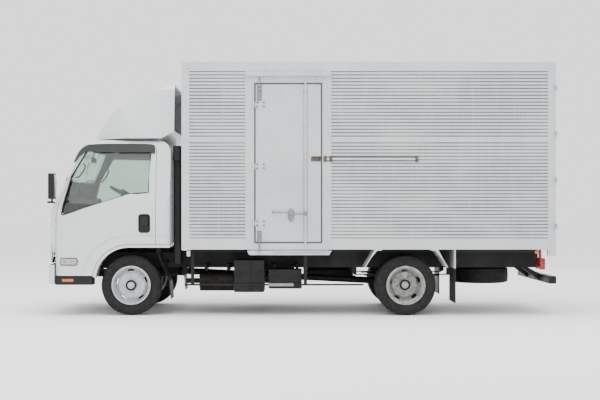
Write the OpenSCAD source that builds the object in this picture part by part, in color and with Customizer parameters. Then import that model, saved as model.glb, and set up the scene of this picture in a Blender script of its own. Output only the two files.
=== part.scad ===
// Light box truck: cab over the engine, ribbed steel box body with one side
// door and two rear doors, twin rear wheels, wind fairing on the cab roof.
// +Z is up, the truck faces -X and its left side is -Y.
// The origin is at ground level, on the centre line, midway along the length.

/* [Overall] */
// Distance between the front and the rear axle
wheelbase = 3345; // [3250:5:4200]
// Front axle to the front face of the bumper
front_overhang = 1054; // [1045:1:1120]
// Rear axle to the back of the underrun bar
rear_overhang = 1824; // [1500:1:2200]

/* [Wheels] */
// Outer radius of a tyre
tyre_r = 366; // [350:1:372]
// Section width of a tyre
tyre_w = 205; // [185:1:215]
// Radius of the rim at the bead seat
bead_r = 222; // [215:1:235]
// Distance between the middles of the two front tyres
front_track = 1660; // [1640:1:1680]
// Distance between the middles of the two twin wheels
rear_track = 1475; // [1460:1:1490]
// Distance between the middles of two twinned tyres
twin_pitch = 235; // [225:1:250]
// Distance of each king pin from the centre line
kingpin_y = 740; // [730:1:745]

/* [Chassis] */
// Outer half width of the ladder frame
rail_y = 400; // [380:1:410]
// Height of the underside of the rails
rail_z = 560; // [555:1:575]
// Height of a rail
rail_h = 190; // [180:1:190]
// Width of a rail's flanges
rail_flange = 65; // [50:1:70]
// Thickness of the rail's plate
rail_t = 7; // [5:0.5:9]
// Length of the sills between the cab and the rear wheel that carry the boxes
guard_reach = 2178; // [1900:1:2200]

/* [Cab] */
// Width of the cab over its side panels
cab_w = 1995; // [1960:1:2010]
// Height of the cab's roof above the ground
cab_h = 2142; // [2120:1:2300]
// Front of the bumper to the back of the cab
cab_l = 1536; // [1530:1:1600]
// Whole thickness of a cab wall or cab door
cab_wall = 45; // [35:1:50]
// Distance from the cab's back to the box's front
cab_gap = 147; // [130:1:220]
// Height of the cab doors' lower edge
cab_door_z = 486; // [484:1:500]
// Height of the roof fairing above the cab's roof
fairing_h = 703; // [600:1:740]
// Radius of the front wheel arch in the cab's side
arch_r = 442; // [436:1:446]

/* [Box] */
// Width of the box over its rails
box_w = 2100; // [2080:1:2200]
// Height of the top of the box above the ground
box_top = 3070; // [2950:1:3400]
// Height of the lower edge of the box's bottom rail
box_z = 806; // [800:1:840]
// Height of the bottom rail
bottom_rail_h = 133; // [120:1:150]
// Height of the top rail
top_rail_h = 113; // [90:1:120]
// Thickness of a whole box wall
wall_t = 40; // [30:1:45]
// Depth of the ribs in the side sheets
rib_d = 9; // [5:0.5:12]
// Pitch of the ribs in the side sheets
rib_pitch = 41; // [36:1:50]
// Width of the corner posts along the truck
post_w = 92; // [80:1:110]

/* [Side door] */
// Front of the box to the front edge of the side door's leaf
side_door_from = 880; // [800:5:1000]
// Width of the side door's leaf
side_door_w = 813; // [700:1:900]
// Width of the door frame round the side door's leaf
side_frame_w = 111; // [90:1:120]
// Distance of the door leaf's lower edge above the box's lower edge
side_door_up = 80; // [75:1:100]
// Distance of the door leaf's upper edge below the top of the box
side_door_down = 258; // [230:1:300]

/* [Fits] */
// Gap round a door leaf
door_gap = 6; // [5.5:0.5:8]
// Radial clearance of a pin in its bore
pin_clear = 0.05; // [0.02:0.01:0.1]
// Gap kept beside a moving barrel or eye
side_gap = 1; // [0.5:0.1:2]

/* [Hidden] */
$fn = 64;

white = "#eef1f3";
off_white = "#dfe4e8";
grey = "#8b8f92";
black = "#26282b";
silver = "#b9bdc1";
tyre_black = "#1d1e20";
glass_green = "#a8c3b8";

// Far further than any cut has to reach
far = 5000;
// Thinnest overlap that joins two parts of one solid
lap = 2;

// Stations along the truck
total_l = front_overhang + wheelbase + rear_overhang;
nose_x = -total_l / 2;
tail_x = total_l / 2;
front_x = nose_x + front_overhang;
rear_x = front_x + wheelbase;
axle_z = tyre_r;
bumper_proud = 15;
cab_x0 = nose_x + bumper_proud;
cab_x1 = nose_x + cab_l;
box_x0 = cab_x1 + cab_gap;
box_x1 = tail_x - 28;
box_hw = box_w / 2;
cab_hw = cab_w / 2;

// Heights of the box
rail_top = rail_z + rail_h;
wall_z0 = box_z + bottom_rail_h;
wall_z1 = box_top - top_rail_h;
floor_t = 30;
floor_z = box_z + 74;
bearer_z = box_z;
roof_t = 30;

// ---------------------------------------------------------------- helpers

// Vector of length one along v
function unit(v) = v / norm(v);

// Points of corner b, between a and c, rounded to the radius b[2]
function corner_pts(a, b, c, n) =
    let (o = [b[0], b[1]],
         u = unit([a[0], a[1]] - o), v = unit([c[0], c[1]] - o),
         half = acos(max(-1, min(1, u * v))) / 2,
         m = o + unit(u + v) * b[2] / sin(half),
         s = o + u * b[2] / tan(half) - m,
         e = o + v * b[2] / tan(half) - m,
         a0 = atan2(s[1], s[0]),
         t = atan2(e[1], e[0]) - a0,
         turn = t > 180 ? t - 360 : t < -180 ? t + 360 : t)
    b[2] == 0 ? [o]
        : [for (k = [0:n]) m + b[2] * [cos(a0 + turn * k / n), sin(a0 + turn * k / n)]];

// Outline with every corner [x, y, radius] rounded in n steps
function rounded(p, n = 6) =
    let (c = len(p))
    [for (i = [0:c - 1]) each corner_pts(p[(i + c - 1) % c], p[i], p[(i + 1) % c], n)];

// Anticlockwise outline of [x, y, radius] corners moved inwards by d
function inset(p, d) =
    let (c = len(p))
    [for (i = [0:c - 1])
        let (o = [p[i][0], p[i][1]],
             a = p[(i + c - 1) % c], e = p[(i + 1) % c],
             u = unit([a[0], a[1]] - o), v = unit([e[0], e[1]] - o),
             k = v[0] * u[1] - v[1] * u[0] > 0 ? 1 : -1,
             half = acos(max(-1, min(1, u * v))) / 2,
             m = o + k * unit(u + v) * d / sin(half))
        [m[0], m[1], p[i][2] == 0 ? 0 : max(p[i][2] - k * d, 4)]];

// Solid box between two corners
module slab(x0, x1, y0, y1, z0, z1)
    translate([x0, y0, z0]) cube([x1 - x0, y1 - y0, z1 - z0]);

// Side-view outline (x, z) drawn out from y0 to y1
module side_prism(p, y0, y1)
    translate([0, y1, 0]) rotate([90, 0, 0]) linear_extrude(y1 - y0) polygon(p);

// Front-view outline (y, z) drawn out from x0 to x1
module front_prism(p, x0, x1)
    translate([x0, 0, 0]) rotate([90, 0, 90]) linear_extrude(x1 - x0) polygon(p);

// Plan outline (x, y) drawn out from z0 to z1
module plan_prism(p, z0, z1)
    translate([0, 0, z0]) linear_extrude(z1 - z0) polygon(p);

// Round bar along the given axis, between two places on that axis
module bar_x(r, x0, x1, y, z) translate([x0, y, z]) rotate([0, 90, 0]) cylinder(h = x1 - x0, r = r);
module bar_y(r, x, y0, y1, z) translate([x, y1, z]) rotate([90, 0, 0]) cylinder(h = y1 - y0, r = r);
module bar_z(r, x, y, z0, z1) translate([x, y, z0]) cylinder(h = z1 - z0, r = r);

// What is drawn on the right side (+Y), moved to the left side if asked
module on_side(left) mirror([0, left ? 1 : 0, 0]) children();

// Both sides at once
module both_sides() {
    children();
    mirror([0, 1, 0]) children();
}

// ---------------------------------------------------------------- chassis

frame_x0 = nose_x + 190;
frame_x1 = tail_x - 102;
bumper_z1 = 618;
nose_z0 = bumper_z1 + 22;
pivot_x = cab_x0 + 20;
pivot_z = nose_z0 - 8;
pivot_pin_r = 8;
pivot_r = 15;
ear_t = 14;
barrel_w = 40;
pivot_y = rail_y - rail_flange / 2;
hanger_y = rail_y - 35;
spring_w = 70;
spring_half = 600;
front_pad_z = axle_z + 60;
rear_pad_z = axle_z + 62;
cross_x = [frame_x0 + 40, cab_x1 + 60, cab_x1 + 760, rear_x - 1080, rear_x - 520,
           rear_x + 60, rear_x + 690, frame_x1 - 40];

// One rail: a channel whose open side faces the centre line
module rail() difference() {
    slab(frame_x0, frame_x1, rail_y - rail_flange, rail_y, rail_z, rail_top);
    slab(frame_x0 - 1, frame_x1 + 1, rail_y - rail_flange - 1, rail_y - rail_t,
         rail_z + rail_t, rail_top - rail_t);
}

// Hinge ears with the pin that the cab tilts on
module tilt_bracket() {
    ear_y = barrel_w / 2 + side_gap;
    for (y = [pivot_y - ear_y - ear_t, pivot_y + ear_y]) {
        slab(pivot_x - pivot_r, frame_x0 + 60, y, y + ear_t, pivot_z - 40, pivot_z - 4);
        bar_y(pivot_r, pivot_x, y, y + ear_t, pivot_z);
    }
    slab(frame_x0, frame_x0 + 60, pivot_y - ear_y - ear_t, pivot_y + ear_y + ear_t, rail_z, pivot_z - 4);
    bar_y(pivot_pin_r, pivot_x, pivot_y - ear_y - ear_t - 6, pivot_y + ear_y + ear_t + 6, pivot_z);
}

// Bracket under a rail that holds one end of a leaf spring
module hanger(x, z) slab(x - 30, x + 30, hanger_y - 35, hanger_y + 35, z, rail_z + lap);

module chassis_frame() color(grey) {
    both_sides() {
        rail();
        tilt_bracket();
        for (x = [front_x, rear_x], e = [-1, 1])
            hanger(x + e * spring_half, (x == front_x ? front_pad_z : rear_pad_z) + 48);
    }
    for (x = cross_x)
        slab(x - 35, x + 35, -rail_y + rail_t - lap, rail_y - rail_t + lap,
             rail_z + 20, rail_z + rail_h - 30);
}

module engine() color(grey)
    slab(front_x - 400, front_x + 480, -265, 265, axle_z + 74, rail_top + 60);

prop_r = 42;
prop_x0 = front_x + 484;
prop_x1 = rear_x - 209;
prop_z0 = 500;
// Shaft from the gearbox down to the rear axle, with its two joints
module propshaft() color(grey) {
    run = prop_x1 - prop_x0;
    drop = prop_z0 - axle_z;
    translate([prop_x0, 0, prop_z0]) rotate([0, 90 + atan2(drop, run), 0]) {
        cylinder(h = norm([run, drop]), r = prop_r);
        for (z = [0, norm([run, drop]) - 90]) translate([0, 0, z]) cylinder(h = 90, r = prop_r + 22);
    }
}

// Stack of leaves over one axle end, sagging towards the middle
module spring_stack(x, z) {
    for (k = [0:3])
        slab(x - spring_half + 130 * k, x + spring_half - 130 * k,
             hanger_y - spring_w / 2, hanger_y + spring_w / 2, z + 48 - 12 * (k + 1), z + 48 - 12 * k);
    // bolts that clamp the stack to its axle
    for (e = [-1, 1], s = [-1, 1])
        bar_z(8, x + e * 62, hanger_y + s * (spring_w / 2 + 9), z, z + 62);
    slab(x - 75, x + 75, hanger_y - spring_w / 2 - 20, hanger_y + spring_w / 2 + 20, z + 48, z + 60);
}

module leaf_springs() color(black) both_sides() {
    spring_stack(front_x, front_pad_z);
    spring_stack(rear_x, rear_pad_z);
}

kingpin_r = 18;
beam_z = 300;
// Forged beam, dropped between the springs, with an upright pin at each end
module front_axle() color(grey) {
    s = kingpin_y - 50;
    front_prism([[-s, axle_z - 45], [-hanger_y - 90, beam_z - 10], [hanger_y + 90, beam_z - 10],
                 [s, axle_z - 45], [s, axle_z + 45], [hanger_y + 90, beam_z + 90],
                 [-hanger_y - 90, beam_z + 90], [-s, axle_z + 45]], front_x - 32, front_x + 32);
    both_sides() {
        bar_z(40, front_x, kingpin_y, axle_z - 45, axle_z + 45);
        bar_z(kingpin_r, front_x, kingpin_y, axle_z - 96, axle_z + 96);
        slab(front_x - 75, front_x + 75, hanger_y - 55, hanger_y + 55, beam_z + 88, front_pad_z);
        slab(front_x - 28, front_x + 28, s - lap, kingpin_y, axle_z - 45, axle_z + 45);
    }
}

spindle_r = 30;
hub_r = 68;
hub_cover = 12;
front_y = front_track / 2;
// Height of the front disc's face above the wheel's middle plane
front_dish = 52;
arm_back = 120;
arm_z = axle_z - 100;
rod_pin_r = 11;
// Fork round the beam's eye, spindle for the wheel, and the steering arm
module knuckle() color(grey) {
    y1 = kingpin_y + 46;
    difference() {
        union() {
            for (z = [axle_z - 88, axle_z + 50]) bar_z(36, front_x, kingpin_y, z, z + 38);
            slab(front_x - 34, front_x + 34, kingpin_y + 20, y1 + 12, axle_z - 88, axle_z - 50);
            slab(front_x - 34, front_x + 34, kingpin_y + 20, y1 + 12, axle_z + 50, axle_z + 88);
            slab(front_x - 34, front_x + 34, y1, y1 + 12, axle_z - 88, axle_z + 88);
            slab(front_x, front_x + arm_back, kingpin_y - 18, kingpin_y + 18, arm_z + 12, arm_z + 30);
            bar_z(18, front_x + arm_back, kingpin_y, arm_z + 12, arm_z + 30);
        }
        bar_z(kingpin_r + pin_clear, front_x, kingpin_y, axle_z - 120, axle_z + 120);
    }
    bar_y(spindle_r, front_x, y1 + 10, front_y + front_dish + 21, axle_z);
    bar_z(rod_pin_r, front_x + arm_back, kingpin_y, arm_z - 22, arm_z + 20);
}
module front_left_knuckle() on_side(true) knuckle();
module front_right_knuckle() on_side(false) knuckle();

// Rod that ties the two steering arms together
module track_rod() color(grey) difference() {
    union() {
        bar_y(13, front_x + arm_back, -kingpin_y + 10, kingpin_y - 10, arm_z - 5);
        both_sides() bar_z(24, front_x + arm_back, kingpin_y, arm_z - 18, arm_z + 8);
    }
    bar_z(rod_pin_r + pin_clear, front_x + arm_back, -kingpin_y, arm_z - 60, arm_z + 60);
    bar_z(rod_pin_r + 1, front_x + arm_back, kingpin_y, arm_z - 60, arm_z + 60);
}

// Turned outline [radius, height] spun round the wheel's own axis, which
// points outwards along +Y
module spun(p, y, x) translate([x, y, axle_z]) rotate([-90, 0, 0]) rotate_extrude() polygon(p);

// Round tyre on its bead seat
module tyre(x, y) spun(rounded([[bead_r, -tyre_w / 2 + 22, 0],
        [bead_r + 20, -tyre_w / 2 + 22, 0], [tyre_r - 55, -tyre_w / 2, 45],
        [tyre_r - 4, -tyre_w / 2 + 18, 14], [tyre_r, 0, 0], [tyre_r - 4, tyre_w / 2 - 18, 14],
        [tyre_r - 55, tyre_w / 2, 45], [bead_r + 20, tyre_w / 2 - 22, 0],
        [bead_r, tyre_w / 2 - 22, 0]], 4), y, x);

rim_t = 6;
flange_r = bead_r + 15;
// Rim well with its two flanges; dish is the height of the disc's face
module rim(x, y, dish) {
    w = tyre_w / 2 - 22;
    b = bead_r;
    seat = max(-16, min(16, dish - 30));
    spun([[b, -w], [flange_r, -w - 2], [flange_r, -w - 9], [b - rim_t, -w - 9], [b - rim_t, -48],
          [b - 28, -26], [b - 28, 26], [b - rim_t, 48], [b - rim_t, w + 9], [flange_r, w + 9],
          [flange_r, w + 2], [b, w], [b, 46], [b - 22, 24], [b - 22, -24], [b, -46]], y, x);
    difference() {
        spun([[spindle_r + pin_clear, dish - 5], [150, dish - 5], [b - 25, seat + 7],
              [b - 25, seat - 7], [146, dish - 19], [spindle_r + pin_clear, dish - 19]], y, x);
        for (k = [0:4]) translate([x, y, axle_z]) rotate([0, -93 - 72 * k, 0]) hand_hole();
    }
}

hand_r = 176;
// Long round-ended hole through the disc
module hand_hole() for (e = [-1, 0, 1])
    translate([hand_r, 0, 0]) rotate([-90, 0, 0]) translate([0, e * 19, -200])
        cylinder(h = 400, r = 19);

nut_r = 104;
// Five wheel nuts on their circle
module nuts(x, y, from) for (k = [0:4])
    translate([x, y, axle_z]) rotate([0, -57 - 72 * k, 0]) translate([nut_r, 0, 0])
        rotate([-90, 0, 0]) translate([0, 0, from]) cylinder(h = 24, r = 17, $fn = 6);

// Hub with its cap, bored for the spindle
module hub(x, y, from, to) difference() {
    union() {
        bar_y(hub_r, x, y + from, y + to, axle_z);
        bar_y(40, x, y + to - 1, y + to + 14, axle_z);
    }
    bar_y(spindle_r + pin_clear, x, y + from - 10, y + to - hub_cover, axle_z);
}

drum_r = 160;
// Brake drum, open towards the middle of the truck
module drum(x, y, from, to) spun([[spindle_r + pin_clear, to - 12], [drum_r, to - 12], [drum_r, from],
    [drum_r + 12, from], [drum_r + 12, to], [spindle_r + pin_clear, to]], y, x);

module front_wheel() color(silver) {
    rim(front_x, front_y, front_dish);
    nuts(front_x, front_y, front_dish - 6);
    hub(front_x, front_y, front_dish - 45, front_dish + 38);
    drum(front_x, front_y, front_dish - 100, front_dish - 18);
}
module front_left_wheel() on_side(true) front_wheel();
module front_right_wheel() on_side(false) front_wheel();
module front_left_tyre() color(tyre_black) on_side(true) tyre(front_x, front_y);
module front_right_tyre() color(tyre_black) on_side(false) tyre(front_x, front_y);

rear_y = rear_track / 2;
module twin_wheels() color(silver) {
    rim(rear_x, rear_y + twin_pitch / 2, -twin_pitch / 2 + 24);
    rim(rear_x, rear_y - twin_pitch / 2, twin_pitch / 2 + 10);
    nuts(rear_x, rear_y, 18);
    hub(rear_x, rear_y, -20, 96);
    drum(rear_x, rear_y, -110, -8);
}
module rear_left_wheels() on_side(true) twin_wheels();
module rear_right_wheels() on_side(false) twin_wheels();
module twin_tyres() color(tyre_black) for (e = [-1, 1]) tyre(rear_x, rear_y + e * twin_pitch / 2);
module rear_left_tyres() on_side(true) twin_tyres();
module rear_right_tyres() on_side(false) twin_tyres();

// Housing with the differential and a spindle at each end
module rear_axle() color(grey) {
    y1 = rear_y - 135;
    bar_y(62, rear_x, -y1, y1, axle_z);
    bar_y(spindle_r, rear_x, -rear_y - 79, rear_y + 79, axle_z);
    translate([rear_x, 0, axle_z]) rotate([90, 0, 0]) rotate_extrude()
        polygon([[0, -110], [70, -105], [150, -60], [165, 0], [150, 60], [70, 105], [0, 110]]);
    bar_x(70, rear_x - 205, rear_x, 0, axle_z);
    both_sides() slab(rear_x - 75, rear_x + 75, hanger_y - 55, hanger_y + 55, axle_z + 40, rear_pad_z);
}

// ------------------------------------------------- boxes under the load floor

module fuel_tank() color(black) {
    side_prism(rounded([[box_x0 + 640, 300, 60], [box_x0 + 1350, 300, 60],
        [box_x0 + 1350, rail_z + 90, 60], [box_x0 + 640, rail_z + 90, 60]]), 560, 905);
    for (x = [box_x0 + 760, box_x0 + 1230])
        slab(x - 25, x + 25, rail_y, 560 + lap, rail_z + 30, rail_z + 70);
}

// Box hung outside the left rail, with the arms that carry it
module side_box(x0, x1, y0, y1, z0, z1) {
    side_prism(rounded([[x0, z0, 14], [x1, z0, 14], [x1, z1, 14], [x0, z1, 14]], 4), -y1, -y0);
    for (x = [x0 + 60, x1 - 60])
        slab(x - 18, x + 18, -y0 - lap, -rail_y, max(z1 - 60, rail_z + 8), max(z1 - 60, rail_z + 8) + 44);
}

// Arm drops to a box that lies below the rail
module box_arm(x, y, z1) slab(x - 18, x + 18, -y - 20, -y + 20, z1 - 20, rail_z + 52);

module battery_box() color(black) {
    side_box(box_x0 + 625, box_x0 + 992, 560, 912, 282, 670);
    // lid standing a little proud of the box
    slab(box_x0 + 619, box_x0 + 998, -918, -554, 503, 520);
}

module tool_box() color(black) {
    side_box(box_x0 + 1046, box_x0 + 1451, 560, 900, 324, 557);
    for (x = [box_x0 + 1106, box_x0 + 1391]) box_arm(x, 580, 557);
}

module muffler() color(grey) {
    bar_x(125, box_x0 + 194, box_x0 + 610, -700, 411);
    for (x = [box_x0 + 260, box_x0 + 540]) {
        slab(x - 15, x + 15, -720, -rail_y, 536, 536 + 80);
        slab(x - 15, x + 15, -715, -685, 530, 540);
    }
    bar_x(32, box_x0 + 20, box_x0 + 196, -700, 411);
}

guard_pipe_r = 11;
guard_z = 375;
guard_y = box_hw - 110;
// Side guard: one pipe on two posts, with a small tread plate on the pipe
module side_guards() color(off_white) both_sides() {
    bar_x(guard_pipe_r, box_x0 + 24, box_x0 + 24 + guard_reach, guard_y, guard_z);
    for (x = [box_x0 + 123, box_x0 + 1494])
        slab(x - 20, x + 20, guard_y - 14, guard_y + 14, guard_z - 6, bearer_z);
    slab(box_x0 + 1046, box_x0 + 1352, guard_y - 26, guard_y + 16, guard_z + 4, guard_z + 14);
}

step_y0 = cab_hw - 190;
// Black sill under each cab door, carried by an arm from the rail
module side_steps() color(black) both_sides() {
    difference() {
        slab(cab_x0 + 132, cab_x0 + 579, step_y0, cab_hw - 8, cab_door_z - 111, cab_door_z - 11);
        slab(cab_x0 + 150, cab_x0 + 561, step_y0 + 20, cab_hw - 24, cab_door_z - 95, cab_door_z);
    }
    slab(cab_x0 + 320, cab_x0 + 360, rail_y - 20, step_y0 + lap, cab_door_z - 90, cab_door_z - 60);
    slab(cab_x0 + 320, cab_x0 + 360, rail_y - 40, rail_y - 10, cab_door_z - 90, rail_z);
}

fender_t = 6;
// Sloping guard and flap behind each front wheel
module front_mudguards() color(black) both_sides() {
    x0 = front_x + 308;
    z1 = cab_side_z - door_gap - arch_lip - 8;
    side_prism([[x0, z1], [x0 + fender_t, z1], [front_x + 478, 420],
                [front_x + 496, 206], [front_x + 490, 206], [front_x + 471, 420]],
               cab_hw - 330, cab_hw - 12);
    slab(x0 + 58, x0 + 88, rail_y, cab_hw - 330 + lap, 620, 660);
}

// Roof-shaped guards over the rear wheels, on stays from the load floor
module rear_mudguards() color(off_white) both_sides() {
    y0 = rear_y - 225;
    y1 = inner_hw;
    z1 = floor_z - floor_t;
    for (e = [-1, 1]) {
        a = rear_x + e * 300;
        b = rear_x + e * 430;
        c = rear_x + e * 505;
        side_prism([[a, bearer_z - 14], [a, z1], [a + e * 60, z1], [b + e * 8, 700],
                    [c, 586], [c - e * 8, 586], [b, 700], [a + e * 52, bearer_z - 14]], y0, y1);
    }
    // rubber flap behind the wheels, hung from the floor
    slab(rear_x + 585, rear_x + 597, y0, y1 - 10, 157, z1);
}

module spare_wheel() color(tyre_black) {
    x = rear_x + 1050;
    z = rail_z - tyre_w / 2 - 6;
    translate([x, 0, z]) rotate([90, 0, 0]) translate([0, 0, -axle_z]) {
        tyre(0, 0);
        rim(0, 0, 40);
    }
    // winch post that holds the wheel up under a cross member
    bar_z(40, x, 0, z - 20, z + 60);
    slab(x - 40, x + 40, -rail_y + rail_t, rail_y - rail_t, rail_z + 30, rail_z + 40);
    bar_z(14, x, 0, z + 58, rail_z + 32);
}

// Bar across the back with its two slanting arms
module underrun_bar() color(white) {
    slab(tail_x - 79, tail_x, -box_hw + 90, box_hw - 90, 388, 478);
    both_sides() side_prism([[tail_x - 300, rail_z], [tail_x - 220, rail_z], [tail_x - 60, 470],
                             [tail_x - 60, 400], [tail_x - 85, 400], [tail_x - 260, 530]],
                            rail_y - 60, rail_y - 10);
}

// Red rear lamps on brackets below the box's sill
module tail_lamps() color("firebrick") both_sides() {
    x0 = tail_x - 200;
    side_prism(rounded([[x0, 560, 8], [x0 + 58, 560, 8], [x0 + 58, 700, 8], [x0, 700, 8]], 3),
               box_hw - 330, box_hw - 70);
    slab(x0 + 10, x0 + 40, box_hw - 220, box_hw - 180, 698, floor_z - floor_t);
}

bumper_z0 = 386;
bumper_t = 12;
bumper_x1 = nose_x + 136;
bumper_plan = [[bumper_x1, -cab_hw, 0], [bumper_x1, cab_hw, 0], [nose_x + 62, cab_hw, 60],
               [nose_x, cab_hw * 0.4, 500], [nose_x, -cab_hw * 0.4, 500], [nose_x + 62, -cab_hw, 60]];
// Thin bumper, open at its top, so that the cab's lip can swing down inside it
module front_bumper() color(white) {
    difference() {
        plan_prism(rounded(bumper_plan), bumper_z0, bumper_z1);
        plan_prism(rounded(inset(bumper_plan, bumper_t)), bumper_z0 + bumper_t, bumper_z1 + 1);
        slab(bumper_x1 - bumper_t - lap, bumper_x1 + 1, -rail_y - 60, rail_y + 60,
             bumper_z0 + bumper_t, bumper_z1 + 1);
    }
    both_sides() {
        slab(nose_x + 60, frame_x0 + 40, rail_y - 55, rail_y - 15, bumper_z0 + bumper_t - 1,
             bumper_z0 + bumper_t + 50);
        slab(frame_x0 + 8, frame_x0 + 40, rail_y - 55, rail_y - 15, bumper_z0 + bumper_t + 40, rail_z);
    }
}

// Upright air duct with its intake head, behind the cab's left corner
module air_intake() color(black) {
    x0 = cab_x1 + 20;
    plan_prism(rounded([[x0, -780, 20], [x0 + 90, -780, 20], [x0 + 90, -600, 20], [x0, -600, 20]], 3),
               rail_z + 60, 1900);
    plan_prism(rounded([[x0, -860, 25], [x0 + 95, -860, 25], [x0 + 95, -580, 25], [x0, -580, 25]], 3),
               1890, 2070);
    slab(x0 + 20, x0 + 60, -610, -rail_y, rail_z + 70, rail_z + 110);
}

// -------------------------------------------------------------------- box

sd_x0 = box_x0 + side_door_from;
sd_x1 = sd_x0 + side_door_w;
sd_z0 = box_z + side_door_up;
sd_z1 = box_top - side_door_down;
sf_x0 = sd_x0 - side_frame_w;
sf_x1 = sd_x1 + side_frame_w;
leaf_t = 45;
inner_hw = box_hw - wall_t;
post_y = box_hw - 70;
door_x = box_x1 - 45;
rear_z0 = floor_z + 9;
rear_z1 = wall_z1 - 7;

// Floor plate on cross bearers, with two long sills that rest on the rails
module box_floor() color(grey) {
    slab(box_x0 + wall_t, box_x1 - post_w, -inner_hw, inner_hw, floor_z - floor_t, floor_z);
    for (k = [0:8]) {
        x = box_x0 + wall_t + 60 + k * (box_x1 - post_w - box_x0 - wall_t - 200) / 8;
        slab(x, x + 60, -inner_hw, inner_hw, bearer_z, floor_z - floor_t + lap);
    }
    both_sides() slab(box_x0 + wall_t, box_x1 - post_w, rail_y - 60, rail_y, rail_top, bearer_z + lap);
}

module box_frame() color(off_white) {
    both_sides() {
        slab(box_x0, box_x1 - post_w, inner_hw, box_hw, wall_z1, box_top);
        difference() {
            slab(box_x0, box_x0 + post_w, inner_hw - 25, box_hw, box_z, wall_z1 + lap);
            slab(box_x0 + wall_t, box_x0 + post_w + 1, inner_hw - 26, inner_hw, box_z - 1, wall_z1 + 3);
        }
    }
    slab(box_x0, box_x0 + wall_t, -inner_hw - lap, inner_hw + lap, wall_z1, box_top);
    slab(box_x0, box_x0 + wall_t, -inner_hw - lap, inner_hw + lap, box_z, wall_z0);
    slab(box_x0 + post_w - lap, box_x1 - post_w, inner_hw, box_hw, box_z, wall_z0);
    slab(box_x0 + post_w - lap, sf_x0, -box_hw, -inner_hw, box_z, wall_z0);
    slab(sf_x1, box_x1 - post_w, -box_hw, -inner_hw, box_z, wall_z0);
}

rib_count = floor((wall_z1 - wall_z0) / rib_pitch);
rib_z0 = wall_z0 + (wall_z1 - wall_z0 - rib_count * rib_pitch) / 2;
// Section (y, z) of a side wall: flat inside, ribbed lengthways outside
ribbed_section = concat(
    [[inner_hw, wall_z0], [box_hw - rib_d, wall_z0]],
    [for (k = [0:rib_count - 1], c = [[0.08, 0], [0.24, 1], [0.76, 1], [0.92, 0]])
        [box_hw - rib_d + c[1] * (rib_d - 1), rib_z0 + (k + c[0]) * rib_pitch]],
    [[box_hw - rib_d, wall_z1], [inner_hw, wall_z1]]);

module box_right_wall() color(white) front_prism(ribbed_section, box_x0 + post_w, box_x1 - post_w);
module box_left_wall() color(white) on_side(true) {
    front_prism(ribbed_section, box_x0 + post_w, sf_x0);
    front_prism(ribbed_section, sf_x1, box_x1 - post_w);
}

module box_front_wall() color(off_white)
    slab(box_x0 + 8, box_x0 + wall_t, -inner_hw + 25, inner_hw - 25, wall_z0, wall_z1);

module box_roof() color(off_white) {
    slab(box_x0 + wall_t, box_x1 - post_w, -inner_hw, inner_hw, box_top - roof_t - 6, box_top - 6);
    // bows under the roof sheet
    for (k = [1:6]) {
        x = box_x0 + k * (box_x1 - box_x0) / 7;
        slab(x - 20, x + 20, -inner_hw, inner_hw, box_top - roof_t - 30, box_top - roof_t - 6 + lap);
    }
}

rear_hinge_r = 9;
rear_pin_r = 5;
rear_axis_x = box_x1 + 12;
rear_axis_y = box_hw + 12;
rear_hinge_z = [for (k = [0:3]) rear_z0 + 200 + k * (rear_z1 - rear_z0 - 400) / 3];
ear_h = 14;
strap_h = 50;

module rear_frame() color(off_white) {
    both_sides() {
        slab(box_x1 - post_w, box_x1, post_y, box_hw, box_z - 74, box_top);
        for (z = rear_hinge_z) {
            for (e = [z - strap_h / 2 - side_gap - ear_h, z + strap_h / 2 + side_gap]) {
                slab(box_x1 - 40, rear_axis_x, box_hw - lap, rear_axis_y + rear_hinge_r, e, e + ear_h);
                bar_z(rear_hinge_r, rear_axis_x, rear_axis_y, e, e + ear_h);
            }
            bar_z(rear_pin_r, rear_axis_x, rear_axis_y, z - strap_h / 2 - ear_h, z + strap_h / 2 + ear_h);
        }
    }
    slab(box_x1 - post_w, box_x1, -post_y - lap, post_y + lap, rear_z1, box_top);
    slab(box_x1 - post_w, box_x1, -post_y - lap, post_y + lap, box_z, rear_z0);
}

lock_rod_r = 11;
// One rear door leaf with its straps and two lock rods, drawn on the right
module rear_leaf() color(off_white) difference() {
    union() {
        slab(door_x - leaf_t, door_x, door_gap / 2, post_y - door_gap,
             rear_z0 + door_gap, rear_z1 - door_gap);
        for (z = rear_hinge_z) {
            slab(door_x - lap, box_x1 + 9, post_y - 62, post_y - door_gap - 10,
                 z - strap_h / 2, z + strap_h / 2);
            slab(box_x1 + 5, box_x1 + 11, post_y - 62, rear_axis_y, z - strap_h / 2, z + strap_h / 2);
            bar_z(rear_hinge_r, rear_axis_x, rear_axis_y, z - strap_h / 2, z + strap_h / 2);
        }
        for (y = [180, post_y - 330]) {
            bar_z(lock_rod_r, door_x + 20, y, rear_z0 + 20, rear_z1 - 20);
            for (z = [rear_z0 + 40, rear_z0 + 700, rear_z0 + 1300, rear_z1 - 60])
                slab(door_x - lap, door_x + 20, y - 26, y + 26, z, z + 26);
        }
    }
    bar_z(rear_pin_r + pin_clear, rear_axis_x, rear_axis_y, rear_z0, rear_z1);
}
module rear_door_left() on_side(true) rear_leaf();
module rear_door_right() on_side(false) rear_leaf();

side_hinge_r = 12;
side_pin_r = 6;
side_axis_x = sd_x0 - 12;
side_axis_y = box_hw + 14;
side_hinge_z = [sd_z0 + 236, sd_z0 + 924, sd_z1 - 259];
knuckle_h = 36;
plate_t = 6;

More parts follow.
